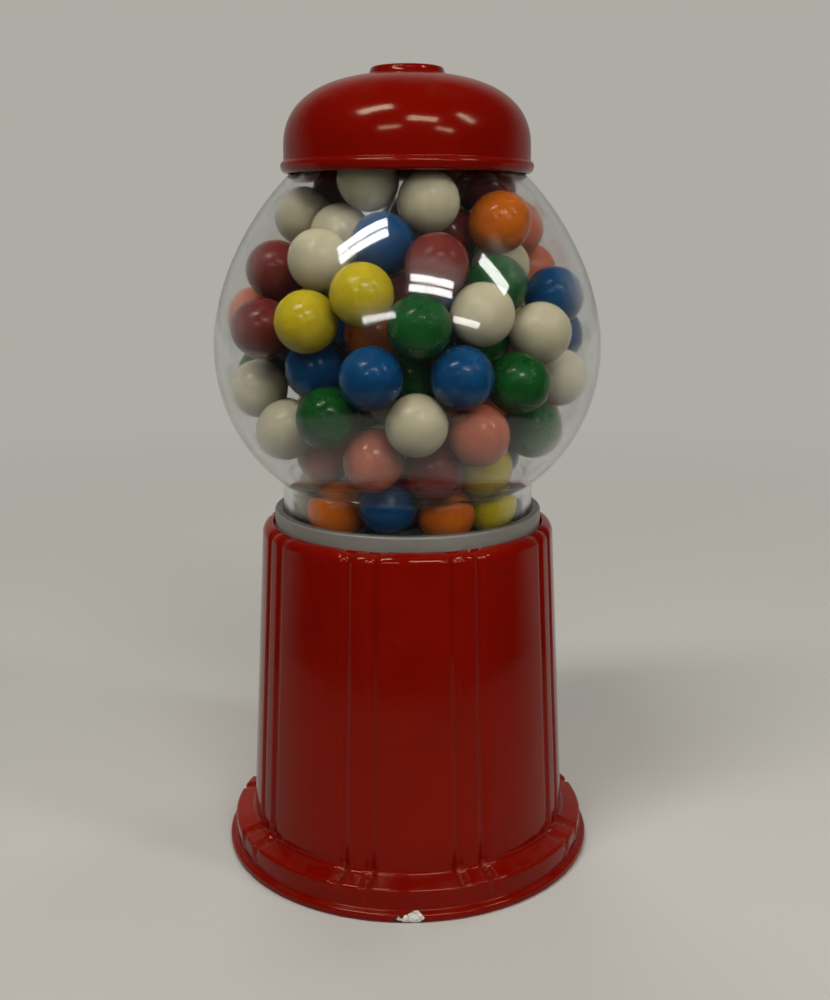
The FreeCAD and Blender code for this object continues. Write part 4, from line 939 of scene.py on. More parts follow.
def facing_front(front: float) -> Matrix:
    """Return the turn that stands a flat plate up, with its upper face towards the front.

    Args:
        front: How far in front of the axis the plate's middle lies.

    Returns:
        The matrix.
    """
    return Matrix.Translation((0.0, -front, 0.0)) @ Matrix.Rotation(math.pi / 2, 4, "X")


def rounded_rectangle(low: Point2, high: Point2, radius: float, steps: int = 7) -> list[Point2]:
    """Draw a rectangle with round corners.

    Args:
        low: Its lowest corner.
        high: Its highest corner.
        radius: The corners' radius.
        steps: Steps in each corner.

    Returns:
        Its points, in turn.
    """
    corners = ((high[0] - radius, high[1] - radius), (low[0] + radius, high[1] - radius),
               (low[0] + radius, low[1] + radius), (high[0] - radius, low[1] + radius))
    points = []
    for quarter, (x, y) in enumerate(corners):
        for step in range(steps + 1):
            angle = math.pi / 2 * (quarter + step / steps)
            points.append((x + radius * math.cos(angle), y + radius * math.sin(angle)))
    return points


def ring_of(centre: Point2, radius: float, steps: int = 48) -> list[Point2]:
    """Draw a circle.

    Args:
        centre: Its middle.
        radius: Its radius.
        steps: Steps round it.

    Returns:
        Its points, in turn.
    """
    return [(centre[0] + radius * math.cos(math.tau * step / steps),
             centre[1] + radius * math.sin(math.tau * step / steps)) for step in range(steps)]


@dataclass(frozen=True)
class Station:
    """One ring of the casting: its radius and height, and the grooves' depth and half width there."""

    radius: float
    height: float
    depth: float = 0.0
    spread: float = 1.2 * MM


@dataclass
class BaseCasting:
    """The red casting: lipped foot, grooved body, shoulder, mouth and the pad for the mechanism."""

    lip_radius: float = 52.6 * MM
    lip_height: float = 2.6 * MM
    lip_edge: float = 0.9 * MM
    foot_radius: float = 50.9 * MM
    foot_height: float = 8.7 * MM
    foot_fillet: float = 0.6 * MM
    fillet_out: float = 0.5 * MM
    fillet_low: float = 0.05 * MM
    foot_bulge: float = -0.4
    foot_round: float = 1.1 * MM
    body_low_radius: float = 45.35 * MM
    body_low: float = 9.5 * MM
    body_fillet: float = 1.1 * MM
    body_corner: float = 1.3 * MM
    corner_drop: float = 0.12 * MM
    body_bulge: float = -0.36
    body_top_radius: float = 40.65 * MM
    height: float = 95.4 * MM
    shoulder: float = 3.0 * MM
    shoulder_bulge: float = 0.40
    mouth: float = 37.7 * MM
    mouth_drop: float = 0.15 * MM
    wall: float = 2.0 * MM
    ledge_radius: float = 33.8 * MM
    ledge_top: float = 84.0 * MM
    ledge_low: float = 82.0 * MM
    groove_depth: float = 0.70 * MM
    groove_spread: float = 1.9 * MM
    dart_spread: float = 2.3 * MM
    dart_height: float = 6.0 * MM
    dart_start: float = 0.6 * MM
    brow_deeper: float = 1.1
    brow_wider: float = 1.2
    sill_deeper: float = 1.2
    dart_deeper: float = 1.4
    top_deeper: float = 1.25
    top_wider: float = 1.75
    first_rib: float = 19.7
    rib_pitch: float = 43.5
    groove_offset: float = 4.8
    rib_pairs: int = 4
    column_pitch: float = 2.2
    ripple_round: float = 90.0
    ripple_up: float = 60.0
    ripple_depth: float = 0.05 * MM
    dust_below: float = 1.0 * MM
    dust_above: float = 1.6 * MM
    dust_reach: float = 2.6
    pad_half: float = 21.0 * MM
    pad_front: float = 44.0 * MM
    pad_back: float = 35.0 * MM
    pad_low: float = 10.2 * MM
    pad_round: float = 0.8 * MM
    overlap: float = 0.05 * MM
    overrun: float = 1.0 * MM
    window_half: float = 18.2 * MM
    window_low: float = 43.2 * MM
    window_high: float = 78.0 * MM
    chute_half: float = 11.05 * MM
    chute_low: float = 11.6 * MM
    chute_high: float = 32.0 * MM
    post_circle: float = 45.0 * MM
    post_radius: float = 3.2 * MM
    post_low: float = 3.2 * MM
    post_edge: float = 0.3 * MM
    post_bearings: tuple[float, ...] = (45.0, 135.0, 225.0, 315.0)

    def body_radius(self, level: float) -> float:
        """Return the body's radius at a level."""
        part = (level - self.body_low) / (self.height - self.body_low)
        return self.body_low_radius + (self.body_top_radius - self.body_low_radius) * part

    def grooves(self) -> list[tuple[float, bool]]:
        """Find the grooves, two to each rib.

        Returns:
            Each groove's bearing from the middle of the back, and whether it runs up the body.
        """
        found = []
        for side in (1, -1):
            for rank in range(self.rib_pairs):
                for edge in (-1, 1):
                    bearing = side * (self.first_rib + rank * self.rib_pitch + edge * self.groove_offset)
                    found.append((bearing, not (rank == self.rib_pairs - 1 and edge == 1)))
        return found

    def outside(self) -> list[Station]:
        """Lay out the outer surface.

        Returns:
            Its rings, from the foot's underside up to the mouth.
        """
        lip, edge, face = self.lip_radius, self.lip_edge, self.foot_radius
        top = self.height - self.shoulder
        stations: list[Station] = []

        def add(profile: Profile, depth: Point2, spread: Point2) -> None:
            """Add a stretch of rings, with the grooves changing evenly along it.

            Args:
                profile: The stretch's outline.
                depth: The grooves' depth at its beginning and end.
                spread: Their half width at its beginning and end.
            """
            count = max(1, len(profile.points) - 1)
            for rank, (r, z) in enumerate(profile.points):
                part = rank / count
                if not stations or abs(stations[-1].radius - r) + abs(stations[-1].height - z) > NEAR:
                    stations.append(Station(r, z, depth[0] + (depth[1] - depth[0]) * part,
                                            spread[0] + (spread[1] - spread[0]) * part))

        deep, wide, dart = self.groove_depth, self.groove_spread, self.dart_spread
        brow_deep, brow_wide = self.brow_deeper * deep, self.brow_wider * wide
        sill_deep, dart_deep = self.sill_deeper * deep, self.dart_deeper * deep
        top_deep, top_wide = self.top_deeper * deep, self.top_wider * wide
        foot = self.lip_height + self.foot_fillet
        add(Profile(face - self.wall, 0.0).to(lip - edge, 0.0, 2).arc(lip, edge, QUARTER)
            .to(lip, self.lip_height - edge).arc(lip - edge, self.lip_height, QUARTER)
            .to(face + self.fillet_out, self.lip_height + self.fillet_low)
            .arc(face, foot, self.foot_bulge), (0.0, 0.0), (wide, wide))
        rim, brow = self.foot_height - self.foot_round, face - self.foot_round
        add(Profile(face, foot).to(face, rim, 6), (0.0, deep), (wide, wide))
        # The grooves grow over the foot's edge and are deepest where the body stands on it.
        add(Profile(face, rim).arc(brow, self.foot_height, QUARTER, 7),
            (deep, brow_deep), (wide, brow_wide))
        corner, sill = self.body_low_radius + self.body_corner, self.body_low - self.corner_drop
        add(Profile(brow, self.foot_height).to(corner, sill, 4),
            (brow_deep, sill_deep), (brow_wide, dart))
        fillet = self.body_low + self.body_fillet
        add(Profile(corner, sill).arc(self.body_radius(fillet), fillet, self.body_bulge, 6),
            (sill_deep, dart_deep), (dart, dart))
        taper = fillet + self.dart_height
        add(Profile(self.body_radius(fillet), fillet).to(self.body_radius(taper), taper, 8),
            (dart_deep, deep), (dart, wide))
        add(Profile(self.body_radius(taper), taper).to(self.body_radius(top), top, 26),
            (deep, deep), (wide, wide))
        add(Profile(self.body_radius(top), top)
            .arc(self.body_radius(top) - self.shoulder, self.height, self.shoulder_bulge, 12),
            (deep, top_deep), (wide, top_wide))
        return stations

    def inside(self) -> list[Station]:
        """Lay out the inner surface.

        Returns:
            Its rings, from the mouth down to the foot's underside.
        """
        roof = self.height - self.wall
        ceiling = self.foot_height - self.wall
        places = [
            (self.mouth, self.height - self.mouth_drop),
            (self.mouth, roof),
            (self.body_radius(roof) - self.wall, roof),
            (self.body_radius(self.ledge_top) - self.wall, self.ledge_top),
            (self.ledge_radius, self.ledge_top),
            (self.ledge_radius, self.ledge_low),
            (self.body_radius(self.ledge_low) - self.wall, self.ledge_low),
            (self.body_low_radius - self.wall, ceiling),
            (self.foot_radius - self.wall, ceiling),
        ]
        return [Station(radius, level) for radius, level in places]

    def bearings(self) -> list[float]:
        """Place the mesh's columns, close together in the grooves.

        Returns:
            Their bearings, in turn.
        """
        beside = (0.32, 0.65, 1.0, 1.35, 1.75, 2.2, 2.7, 3.3)
        fine = (0.0, *beside, *(-step for step in beside))
        found = sorted(bearing + step for bearing, _ in self.grooves() for step in fine)
        filled = []
        for rank, bearing in enumerate(found):
            after = found[rank + 1] if rank + 1 < len(found) else found[0] + 360.0
            steps = max(1, math.ceil((after - bearing) / self.column_pitch))
            filled.extend(bearing + (after - bearing) * step / steps for step in range(steps))
        return filled

    def sunk(self, station: Station, bearing: float) -> float:
        """Find how deep a ring lies below the plain surface.

        Args:
            station: The ring.
            bearing: Where on the ring.

        Returns:
            The depth.
        """
        depth = 0.0
        on_body = station.height > self.body_low + self.dart_start
        for groove, runs_up in self.grooves():
            if on_body and not runs_up:
                continue
            away = (bearing - groove + 180.0) % 360.0 - 180.0
            across = math.radians(away) * station.radius / station.spread
            if abs(across) < 1.0:
                depth = max(depth, station.depth * math.cos(across * math.pi / 2) ** 2)
        return depth

    def shell(self) -> bpy.types.Mesh:
        """Make the shell with its grooves.

        Returns:
            A closed mesh.
        """
        outside, inside = self.outside(), self.inside()
        rings = outside + inside
        bearings = self.bearings()[::-1]
        points: list[Point3] = []
        for rank, station in enumerate(rings):
            before, after = rings[max(0, rank - 1)], rings[min(len(rings) - 1, rank + 1)]
            along = Vector((after.radius - before.radius, after.height - before.height)).normalized()
            for bearing in bearings:
                depth = self.sunk(station, bearing) if station.depth else 0.0
                turn = math.radians(bearing)
                radius = station.radius - along.y * depth
                level = station.height + along.x * depth
                if station.depth:
                    across = self.ripple_round * radius
                    place = (across * math.sin(turn), across * math.cos(turn), self.ripple_up * level)
                    radius -= self.ripple_depth * (1.0 + noise.noise(place))
                points.append((radius * math.sin(turn), radius * math.cos(turn), level))
        faces = []
        columns = len(bearings)
        for rank in range(len(rings)):
            low, high = rank * columns, ((rank + 1) % len(rings)) * columns
            for step in range(columns):
                after = (step + 1) % columns
                faces.append((low + step, low + after, high + after, high + step))
        return Bench.mesh(points, faces)

    def post(self, bearing: float) -> bpy.types.Mesh:
        """Make one of the posts that the bottom plate is screwed to.

        Args:
            bearing: Where it stands, from the right-hand side.

        Returns:
            A closed mesh.
        """
        low, top = self.post_low, self.foot_height - self.wall / 2
        radius, edge = self.post_radius, self.post_edge
        outline = [(0.0, low), (radius - edge, low), (radius, low + edge), (radius, top), (0.0, top)]
        mesh = Bench.lathe(outline, 40)
        turn = math.radians(bearing)
        x, y = self.post_circle * math.cos(turn), self.post_circle * math.sin(turn)
        mesh.transform(Matrix.Translation((x, y, 0.0)))
        return mesh

    def wear(self, piece: Piece) -> None:
        """Store where dust gathers: in the notches where the grooves cross the foot.

        Args:
            piece: The casting.
        """
        layer = piece.data.attributes.new("hollow", "FLOAT", "POINT")
        for vertex, value in zip(piece.data.vertices, layer.data):
            x, y, z = vertex.co
            if not self.foot_height - self.dust_below < z < self.body_low + self.dust_above:
                continue
            bearing = math.degrees(math.atan2(x, y))
            near = min(abs((bearing - groove + 180.0) % 360.0 - 180.0) for groove, _ in self.grooves())
            value.value = max(0.0, 1.0 - near / self.dust_reach)

    def build(self, finish: Enamel) -> Piece:
        """Make the casting.

        Args:
            finish: Its paint.

        Returns:
            The piece.
        """
        front, back = -self.lip_radius - self.overrun, -self.pad_back + self.overrun
        trim = Bench.block((-self.pad_half, front, self.pad_low),
                           (self.pad_half, -self.pad_front + self.overlap, self.ledge_top))
        pad = Bench.block((-self.pad_half, -self.pad_front, self.pad_low),
                          (self.pad_half, -self.pad_back, self.ledge_top - self.overlap), self.pad_round)
        window = Bench.block((-self.window_half, front, self.window_low),
                             (self.window_half, back, self.window_high))
        mouth = Bench.block((-self.chute_half, front, self.chute_low),
                            (self.chute_half, back, self.chute_high))
        steps = [(Work.CUT, trim), (Work.ADD, pad), (Work.CUT, window), (Work.CUT, mouth)]
        steps += [(Work.ADD, self.post(bearing)) for bearing in self.post_bearings]
        piece = Bench.piece("base_casting", Bench.worked(self.shell(), steps), crease=38.0)
        self.wear(piece)
        return Bench.dress(piece, "base", ["base_shell"], "red_enamel", finish.material())


@dataclass
class Globe:
    """The clear globe, with its neck below and filling collar above, and the ring that it stands in."""

    radius: float = 52.4 * MM
    wall: float = 2.2 * MM
    middle: float = 144.0 * MM
    lower: float = 48.0 * MM
    lower_power: float = 2.12
    upper: float = 60.5 * MM
    upper_power: float = 1.74
    neck: float = 34.7 * MM
    neck_blend: float = 0.9 * MM
    neck_bulge: float = -0.22
    collar: float = 29.5 * MM
    chamfer: float = 0.3 * MM
    ring_radius: float = 37.2 * MM
    ring_inner: float = 31.8 * MM
    ring_seat: float = 92.4 * MM
    ring_gap: float = 0.3 * MM
    ring_edge: float = 0.7 * MM
    turns: int = 160

    def ovals(self, offset: float) -> tuple[Oval, Oval]:
        """Draw the ovals of one surface of the wall.

        Args:
            offset: How far the surface is set in from the outside.

        Returns:
            The lower oval and the upper one.
        """
        radius = self.radius - offset
        return (Oval(radius, self.lower - offset, self.lower_power, self.middle, -1),
                Oval(radius, self.upper - offset, self.upper_power, self.middle, 1))

    def outline(self) -> list[Point2]:
        """Draw the globe.

        Returns:
            Its outline, up the outside and down the inside.
        """
        low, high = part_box("globe")
        foot, top = low.z, high.z
        lower, upper = self.ovals(0.0)
        inner_lower, inner_upper = self.ovals(self.wall)
        rim = self.wall / 2
        inner_neck, inner_collar = self.neck - self.wall, self.collar - self.wall
        crease, blend = lower.height(self.neck), self.neck_blend
        profile = Profile(inner_neck, foot).to(self.neck - self.chamfer, foot)
        profile.to(self.neck, foot + self.chamfer).to(self.neck, crease - blend, 10)
        profile.arc(self.neck + blend, lower.height(self.neck + blend), self.neck_bulge, 4)
        profile.oval(lower, self.neck + blend, self.radius, 44).oval(upper, self.radius, self.collar, 44)
        profile.to(self.collar, top - rim, 3).arc(self.collar - rim, top, QUARTER, 4)
        profile.arc(inner_collar, top - rim, QUARTER, 4)
        profile.oval(inner_upper, inner_collar, inner_upper.radius, 44)
        profile.oval(inner_lower, inner_lower.radius, inner_neck, 44)
        profile.to(inner_neck, foot + self.chamfer, 8)
        return profile.points

    def ring_outline(self) -> list[Point2]:
        """Draw the seat ring, with the step that the globe's neck stands in.

        Returns:
            Its outline, up the outside and down the step.
        """
        low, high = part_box("globe_seat_ring")
        rabbet, edge = self.neck + self.ring_gap, self.ring_edge
        outer, top, chamfer = self.ring_radius, high.z, self.chamfer
        profile = Profile(self.ring_inner, low.z).to(outer - chamfer, low.z).to(outer, low.z + chamfer)
        profile.to(outer, top - edge, 4).arc(outer - edge, top, QUARTER, 5)
        profile.to(rabbet + chamfer, top).arc(rabbet, top - chamfer, QUARTER, 3)
        profile.to(rabbet, self.ring_seat, 3).to(self.ring_inner, self.ring_seat)
        return profile.points

    def wear(self, piece: Piece) -> None:
        """Store which points are on the globe's outside, where dust and wipe marks gather.

        Args:
            piece: The globe.
        """
        layer = piece.data.attributes.new("outside", "FLOAT", "POINT")
        for vertex, value in zip(piece.data.vertices, layer.data):
            value.value = 1.0 if vertex.normal.xy.dot(vertex.co.xy) > 0.0 else 0.0

    def build(self, finish: ClearGlass, ring_finish: FrostedPlastic) -> list[Piece]:
        """Make the globe and the seat ring.

        Args:
            finish: The globe's finish.
            ring_finish: The ring's finish.

        Returns:
            The two pieces.
        """
        globe = Bench.piece("clear_globe", Bench.lathe(self.outline(), self.turns), crease=60.0)
        self.wear(globe)
        Bench.dress(globe, "base", ["globe"], "clear_glass", finish.material())
        globe.visible_shadow = False
        ring = Bench.piece("seat_ring", Bench.lathe(self.ring_outline(), self.turns))
        Bench.dress(ring, "base", ["globe_seat_ring"], "frosted_plastic", ring_finish.material())
        return [globe, ring]


@dataclass
class Lid:
    """The pressed lid that lies loose on the globe: rolled rim, skirt, dome and a flat boss."""

    radius: float = 32.6 * MM
    rim_radius: float = 33.4 * MM
    bead: float = 1.6 * MM
    bead_top_out: float = 0.25 * MM
    bead_top_drop: float = 0.1 * MM
    bead_bulge: float = 0.36
    bead_fillet: float = 0.35 * MM
    fillet_bulge: float = -0.35
    skirt: float = 5.7 * MM
    dome: float = 19.6 * MM
    power: float = 2.5
    wall: float = 1.6 * MM
    boss: float = 10.2 * MM
    boss_top: float = 9.5 * MM
    boss_round: float = 0.8 * MM
    boss_bulge: float = 0.38
    boss_fillet: float = 0.9 * MM
    boss_foot_in: float = 0.25 * MM
    boss_foot_rise: float = 0.45 * MM
    boss_foot_bulge: float = -0.30
    boss_lean: float = 0.12 * MM
    boss_flat_in: float = 1.8 * MM
    boss_flat_drop: float = 0.02 * MM
    boss_dip: float = 0.12 * MM
    seat_gap: float = 0.3 * MM
    turns: int = 160

    def outline(self) -> list[Point2]:
        """Draw the lid.

        Returns:
            Its outline, up the outside and back along the underside.
        """
        low_corner, high_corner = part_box("lid")
        low, top = low_corner.z, high_corner.z
        middle = low + self.skirt
        outer = Oval(self.radius, self.dome, self.power, middle)
        inner = Oval(self.radius - self.wall, self.dome - self.wall, self.power, middle)
        seat = self.rim_radius - self.bead - self.seat_gap
        foot = outer.height(self.boss)
        step = low + 2 * self.bead
        profile = Profile(seat, low).to(self.rim_radius - self.bead, low)
        profile.arc(self.rim_radius, low + self.bead, QUARTER, 7)
        profile.arc(self.radius + self.bead_top_out, step - self.bead_top_drop, self.bead_bulge, 7)
        profile.arc(self.radius, step + self.bead_fillet, self.fillet_bulge, 4)
        profile.to(self.radius, middle, 3)
        profile.oval(outer, self.radius, self.boss + self.boss_fillet, 60)
        profile.arc(self.boss - self.boss_foot_in, foot + self.boss_foot_rise, self.boss_foot_bulge, 5)
        profile.to(self.boss_top + self.boss_lean, top - self.boss_round, 2)
        profile.arc(self.boss_top - self.boss_round, top, self.boss_bulge, 7)
        profile.to(self.boss_top - self.boss_flat_in, top - self.boss_flat_drop, 2)
        profile.to(0.0, top - self.boss_dip, 6)
        profile.to(0.0, middle + self.dome - self.wall)
        profile.oval(inner, 0.0, inner.radius, 40)
        profile.to(inner.radius, step, 2)
        return profile.points

    def build(self, finish: Enamel) -> Piece:
        """Make the lid.

        Args:
            finish: Its paint.

        Returns:
            The piece.
        """
        piece = Bench.piece("lid_pressing", Bench.lathe(self.outline(), self.turns), crease=40.0)
        return Bench.dress(piece, "lid", ["lid"], "red_enamel", finish.material())


@dataclass
class Gumballs:
    """The gumballs, each a little out of round, one piece for each colour."""

    splits: int = 4
    flatten: float = 0.016
    dent: float = 0.020
    broad_lumps: float = 1.3
    small_lumps: float = 2.9
    broad_share: float = 0.7
    small_share: float = 0.3
    first_seed: int = 70

    @staticmethod
    def centres(node: str) -> list[tuple[Vector, float]]:
        """Return the middle and radius of each ball of a node.

        Args:
            node: The node's name.

        Returns:
            The balls, in a steady order.
        """
        work = bmesh.new()
        work.from_mesh(frame["nodes"][node].data)
        bmesh.ops.remove_doubles(work, verts=work.verts, dist=NEAR)
        left = set(work.verts)
        found = []
        for seed in work.verts:
            if seed not in left:
                continue
            low, high = Vector(seed.co), Vector(seed.co)
            queue = [seed]
            left.discard(seed)
            while queue:
                vertex = queue.pop()
                for axis in range(3):
                    low[axis] = min(low[axis], vertex.co[axis])
                    high[axis] = max(high[axis], vertex.co[axis])
                for edge in vertex.link_edges:
                    other = edge.other_vert(vertex)
                    if other in left:
                        left.discard(other)
                        queue.append(other)
            found.append(((low + high) / 2, max(high - low) / 2))
        work.free()
        return sorted(found, key=lambda ball: (round(ball[0].z, 5), round(ball[0].x, 5), round(ball[0].y, 5)))

    def ball(self, work: bmesh.types.BMesh, centre: Vector, radius: float, dice: random.Random) -> None:
        """Add one ball.

        Args:
            work: The mesh to add to.
            centre: Its middle.
            radius: Its radius.
            dice: The source of its unevenness.
        """
        made = bmesh.ops.create_icosphere(work, subdivisions=self.splits, radius=1.0)["verts"]
        axis = Vector((dice.gauss(0, 1), dice.gauss(0, 1), dice.gauss(0, 1))).normalized()
        flat = dice.uniform(0.2, 1.0) * self.flatten
        seed = Vector((dice.uniform(0, 90), dice.uniform(0, 90), dice.uniform(0, 90)))
        for vertex in made:
            way = vertex.co.normalized()
            broad = noise.noise(way * self.broad_lumps + seed) * self.broad_share
            small = noise.noise(way * self.small_lumps + seed) * self.small_share
            lump = broad + small
            size = 1.0 - flat * way.dot(axis) ** 2 - self.dent * max(0.0, lump) ** 1.5
            vertex.co = centre + way * (radius * size)

    def build(self) -> list[Piece]:
        """Make the balls of every colour, and those in the wheel's pockets.

        Returns:
            The pieces.
        """
        made = []
        groups = [(f"gumballs_{shell.name.lower()}", shell, "base") for shell in Shell]
        groups.append(("pocket_gumballs", Shell.BLUE, "wheel"))
        finishes = {shell: shell.value.material() for shell in Shell}
        for rank, (node, shell, body) in enumerate(groups):
            dice = random.Random(self.first_seed + rank)
            work = bmesh.new()
            for centre, radius in self.centres(node):
                self.ball(work, centre, radius, dice)
            mesh = bpy.data.meshes.new(node)
            work.to_mesh(mesh)
            work.free()
            piece = Bench.piece(node.replace("gumballs", "candy"), mesh, crease=180.0)
            made.append(Bench.dress(piece, body, [node], shell.value.name, finishes[shell]))
        return made


@dataclass
class SlottedHeads:
    """Screws with low round heads and a slot."""

    tip_taper: float = 0.2 * MM
    tip_length: float = 0.3 * MM
    head_wall: float = 0.35
    head_bulge: float = 0.16
    slot_width: float = 0.75 * MM
    slot_depth: float = 0.55 * MM

    def screw(self, head: float, rise: float, shank: float, length: float) -> bpy.types.Mesh:
        """Make a screw whose head rests on the XY plane and rises along Z.

        Args:
            head: The head's radius.
            rise: The head's height.
            shank: The shank's radius.
            length: The shank's length.

        Returns:
            A closed mesh.
        """
        profile = Profile(0.0, -length).to(shank - self.tip_taper, -length)
        profile.to(shank, -length + self.tip_length)
        profile.to(shank, -NEAR).to(head, -NEAR).to(head, self.head_wall * rise)
        profile.arc(0.0, rise, self.head_bulge, 8)
        mesh = Bench.lathe(profile.points, 40)
        half = self.slot_width / 2
        slot = Bench.block((-2 * head, -half, rise - self.slot_depth), (2 * head, half, 2 * rise))
        return Bench.worked(mesh, [(Work.CUT, slot)])


@dataclass
class FrontMechanism:
    """The chrome front: plate with dial, coin slot and catch lip, turning handle, flap and screws."""

    plate_back: float = 44.0 * MM
    plate_thickness: float = 2.5 * MM
    plate_corner: float = 6.0 * MM
    edge: float = 0.45 * MM
    sunk: float = 0.6 * MM
    dial_radius: float = 13.4 * MM
    dial_height: float = 0.7 * MM
    dial_hole: float = 5.65 * MM
    dial_edge: float = 0.3 * MM
    ticks: int = 12
    tick_half: float = 0.3 * MM
    tick_low: float = 11.3 * MM
    tick_high: float = 12.7 * MM
    tick_rise: float = 0.35 * MM
    tick_root: float = 0.15 * MM
    tick_edge: float = 0.12 * MM
    tick_sunk: float = 0.02 * MM
    bush_hole: float = 4.05 * MM
    screw_hole: float = 1.45 * MM
    head_radius: float = 2.3 * MM
    shank_radius: float = 1.25 * MM
    first_turn: float = 0.4
    next_turn: float = 1.1
    shaft_level: float = 60.6 * MM
    slot_x: float = 15.4 * MM
    slot_half: float = 1.2 * MM
    slot_low: float = 51.1 * MM
    slot_high: float = 70.1 * MM
    slot_corner: float = 0.5 * MM
    boss_margin: float = 1.2 * MM
    boss_height: float = 1.4 * MM
    boss_edge: float = 0.35 * MM
    mouth_half: float = 9.6 * MM
    mouth_low: float = 13.4 * MM
    mouth_high: float = 32.0 * MM
    mouth_corner: float = 0.8 * MM
    ear_inner: float = 11.4 * MM
    ear_thickness: float = 1.8 * MM
    ear_root: float = 0.5 * MM
    ear_edge: float = 0.3 * MM
    pin_front: float = 48.8 * MM
    pin_level: float = 34.3 * MM
    barrel: float = 2.0 * MM
    barrel_edge: float = 0.3 * MM
    pin_bore: float = 1.05 * MM
    flap_half: float = 11.1 * MM
    flap_low: float = 13.4 * MM
    flap_thickness: float = 1.3 * MM
    flap_corner: float = 1.6 * MM
    flap_edge: float = 0.35 * MM
    roll: float = 0.9 * MM
    roll_inset: float = 1.8 * MM
    roll_out: float = 0.35 * MM
    roll_rise: float = 0.1 * MM
    panel_side: float = 3.0 * MM
    panel_low: float = 4.2 * MM
    panel_high: float = 4.4 * MM
    panel_corner: float = 1.5 * MM
    panel_out: float = 0.6 * MM
    panel_thinner: float = 0.1 * MM
    panel_edge: float = 0.4 * MM
    lip_depth: float = 6.6 * MM
    lip_thickness: float = 1.7 * MM
    lip_corner: float = 2.2 * MM
    lip_edge: float = 0.4 * MM
    bead_inset: float = 2.0 * MM
    bead_depth: float = 1.0 * MM
    bead_root: float = 0.6 * MM
    bead_rise: float = 0.5 * MM
    handle_back: float = 47.6 * MM
    disc_radius: float = 10.4 * MM
    disc_height: float = 2.0 * MM
    disc_bore: float = 2.6 * MM
    disc_back_edge: float = 0.3 * MM
    disc_front_edge: float = 0.6 * MM
    line_outer: float = 1.5 * MM
    line_middle: float = 1.8 * MM
    line_inner: float = 2.1 * MM
    line_depth: float = 0.25 * MM
    bar_half: float = 11.8 * MM
    bar_width: float = 3.4 * MM
    bar_waist: float = 2.9 * MM
    bar_rounding: float = 1.25 * MM
    bar_height: float = 5.2 * MM
    bar_sunk: float = 0.5 * MM
    recess: float = 2.1 * MM

    @property
    def plate_front(self) -> float:
        """Return how far in front of the axis the plate's face lies."""
        return self.plate_back + self.plate_thickness

    def upright(self, outlines: Sequence[Sequence[Point2]], back: float, thickness: float,
                rounding: float) -> bpy.types.Mesh:
        """Make a plate that stands facing the front.

        Args:
            outlines: The rim, then the holes.
            back: How far in front of the axis its back lies.
            thickness: Its thickness.
            rounding: The radius of its edges.

        Returns:
            A closed mesh.
        """
        mesh = Bench.plate(outlines, thickness, rounding)
        mesh.transform(facing_front(back + thickness / 2))
        return mesh

    def screw_places(self) -> list[Point2]:
        """Find the plate's screws in the frame.

        Returns:
            Each screw's place, across and up.
        """
        low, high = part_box("faceplate_screws")
        inset = self.head_radius
        return [(x, z) for x in (low.x + inset, high.x - inset) for z in (low.z + inset, high.z - inset)]

    def plate(self) -> bpy.types.Mesh:
        """Make the front plate with all that stands on it.

        Returns:
            A mesh of closed parts.
        """
        low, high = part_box("faceplate")
        centre = (0.0, self.shaft_level)
        slot = rounded_rectangle((self.slot_x - self.slot_half, self.slot_low),
                                 (self.slot_x + self.slot_half, self.slot_high), self.slot_corner, 4)
        mouth = rounded_rectangle((-self.mouth_half, self.mouth_low),
                                  (self.mouth_half, self.mouth_high), self.mouth_corner, 4)
        rim = rounded_rectangle((low.x, low.z), (high.x, high.z), self.plate_corner, 12)
        sheet = self.upright([rim, ring_of(centre, self.bush_hole), slot, mouth],
                             self.plate_back, self.plate_thickness, self.edge)
        middle = self.plate_back + self.plate_thickness / 2
        holes = [self.drill(place, self.screw_hole, middle, self.plate_thickness)
                 for place in self.screw_places()]
        sheet = Bench.worked(sheet, [(Work.CUT, hole) for hole in holes])
        meshes = [sheet, self.slot_boss(slot)]
        dial = [ring_of(centre, self.dial_radius, 96), ring_of(centre, self.dial_hole)]
        meshes.append(self.upright(dial, self.plate_front - self.sunk, self.dial_height + self.sunk,
                                   self.dial_edge))
        meshes += [self.tick(rank) for rank in range(self.ticks)]
        for side in (1, -1):
            meshes.append(self.ear(side * (self.ear_inner + self.ear_thickness / 2)))
        meshes += self.catch_lip(low.z)
        return Bench.together(meshes)

    def slot_boss(self, slot: Sequence[Point2]) -> bpy.types.Mesh:
        """Make the raised rim round the coin slot.

        Args:
            slot: The slot's outline.

        Returns:
            A closed mesh.
        """
        margin = self.boss_margin
        rim = rounded_rectangle((self.slot_x - self.slot_half - margin, self.slot_low - margin),
                                (self.slot_x + self.slot_half + margin, self.slot_high + margin), margin, 6)
        return self.upright([rim, slot], self.plate_front - self.sunk, self.boss_height + self.sunk,
                            self.boss_edge)

    def catch_lip(self, low: float) -> list[bpy.types.Mesh]:
        """Make the shelf below the ball mouth, with a bead along its front.

        Args:
            low: The plate's lower edge.

        Returns:
            The shelf and the bead, each a closed mesh.
        """
        outer = self.ear_inner + self.ear_thickness
        front = self.plate_front
        top = low + self.lip_thickness
        rim = rounded_rectangle((-outer, -front - self.lip_depth), (outer, -front + self.sunk),
                                self.lip_corner)
        shelf = Bench.plate([rim], self.lip_thickness, self.lip_edge)
        shelf.transform(Matrix.Translation((0.0, 0.0, low + self.lip_thickness / 2)))
        reach = outer - self.bead_inset
        bead = Bench.block((-reach, -front - self.lip_depth, top - self.bead_root),
                           (reach, -front - self.lip_depth + self.bead_depth, top + self.bead_rise),
                           self.lip_edge)
        return [shelf, bead]

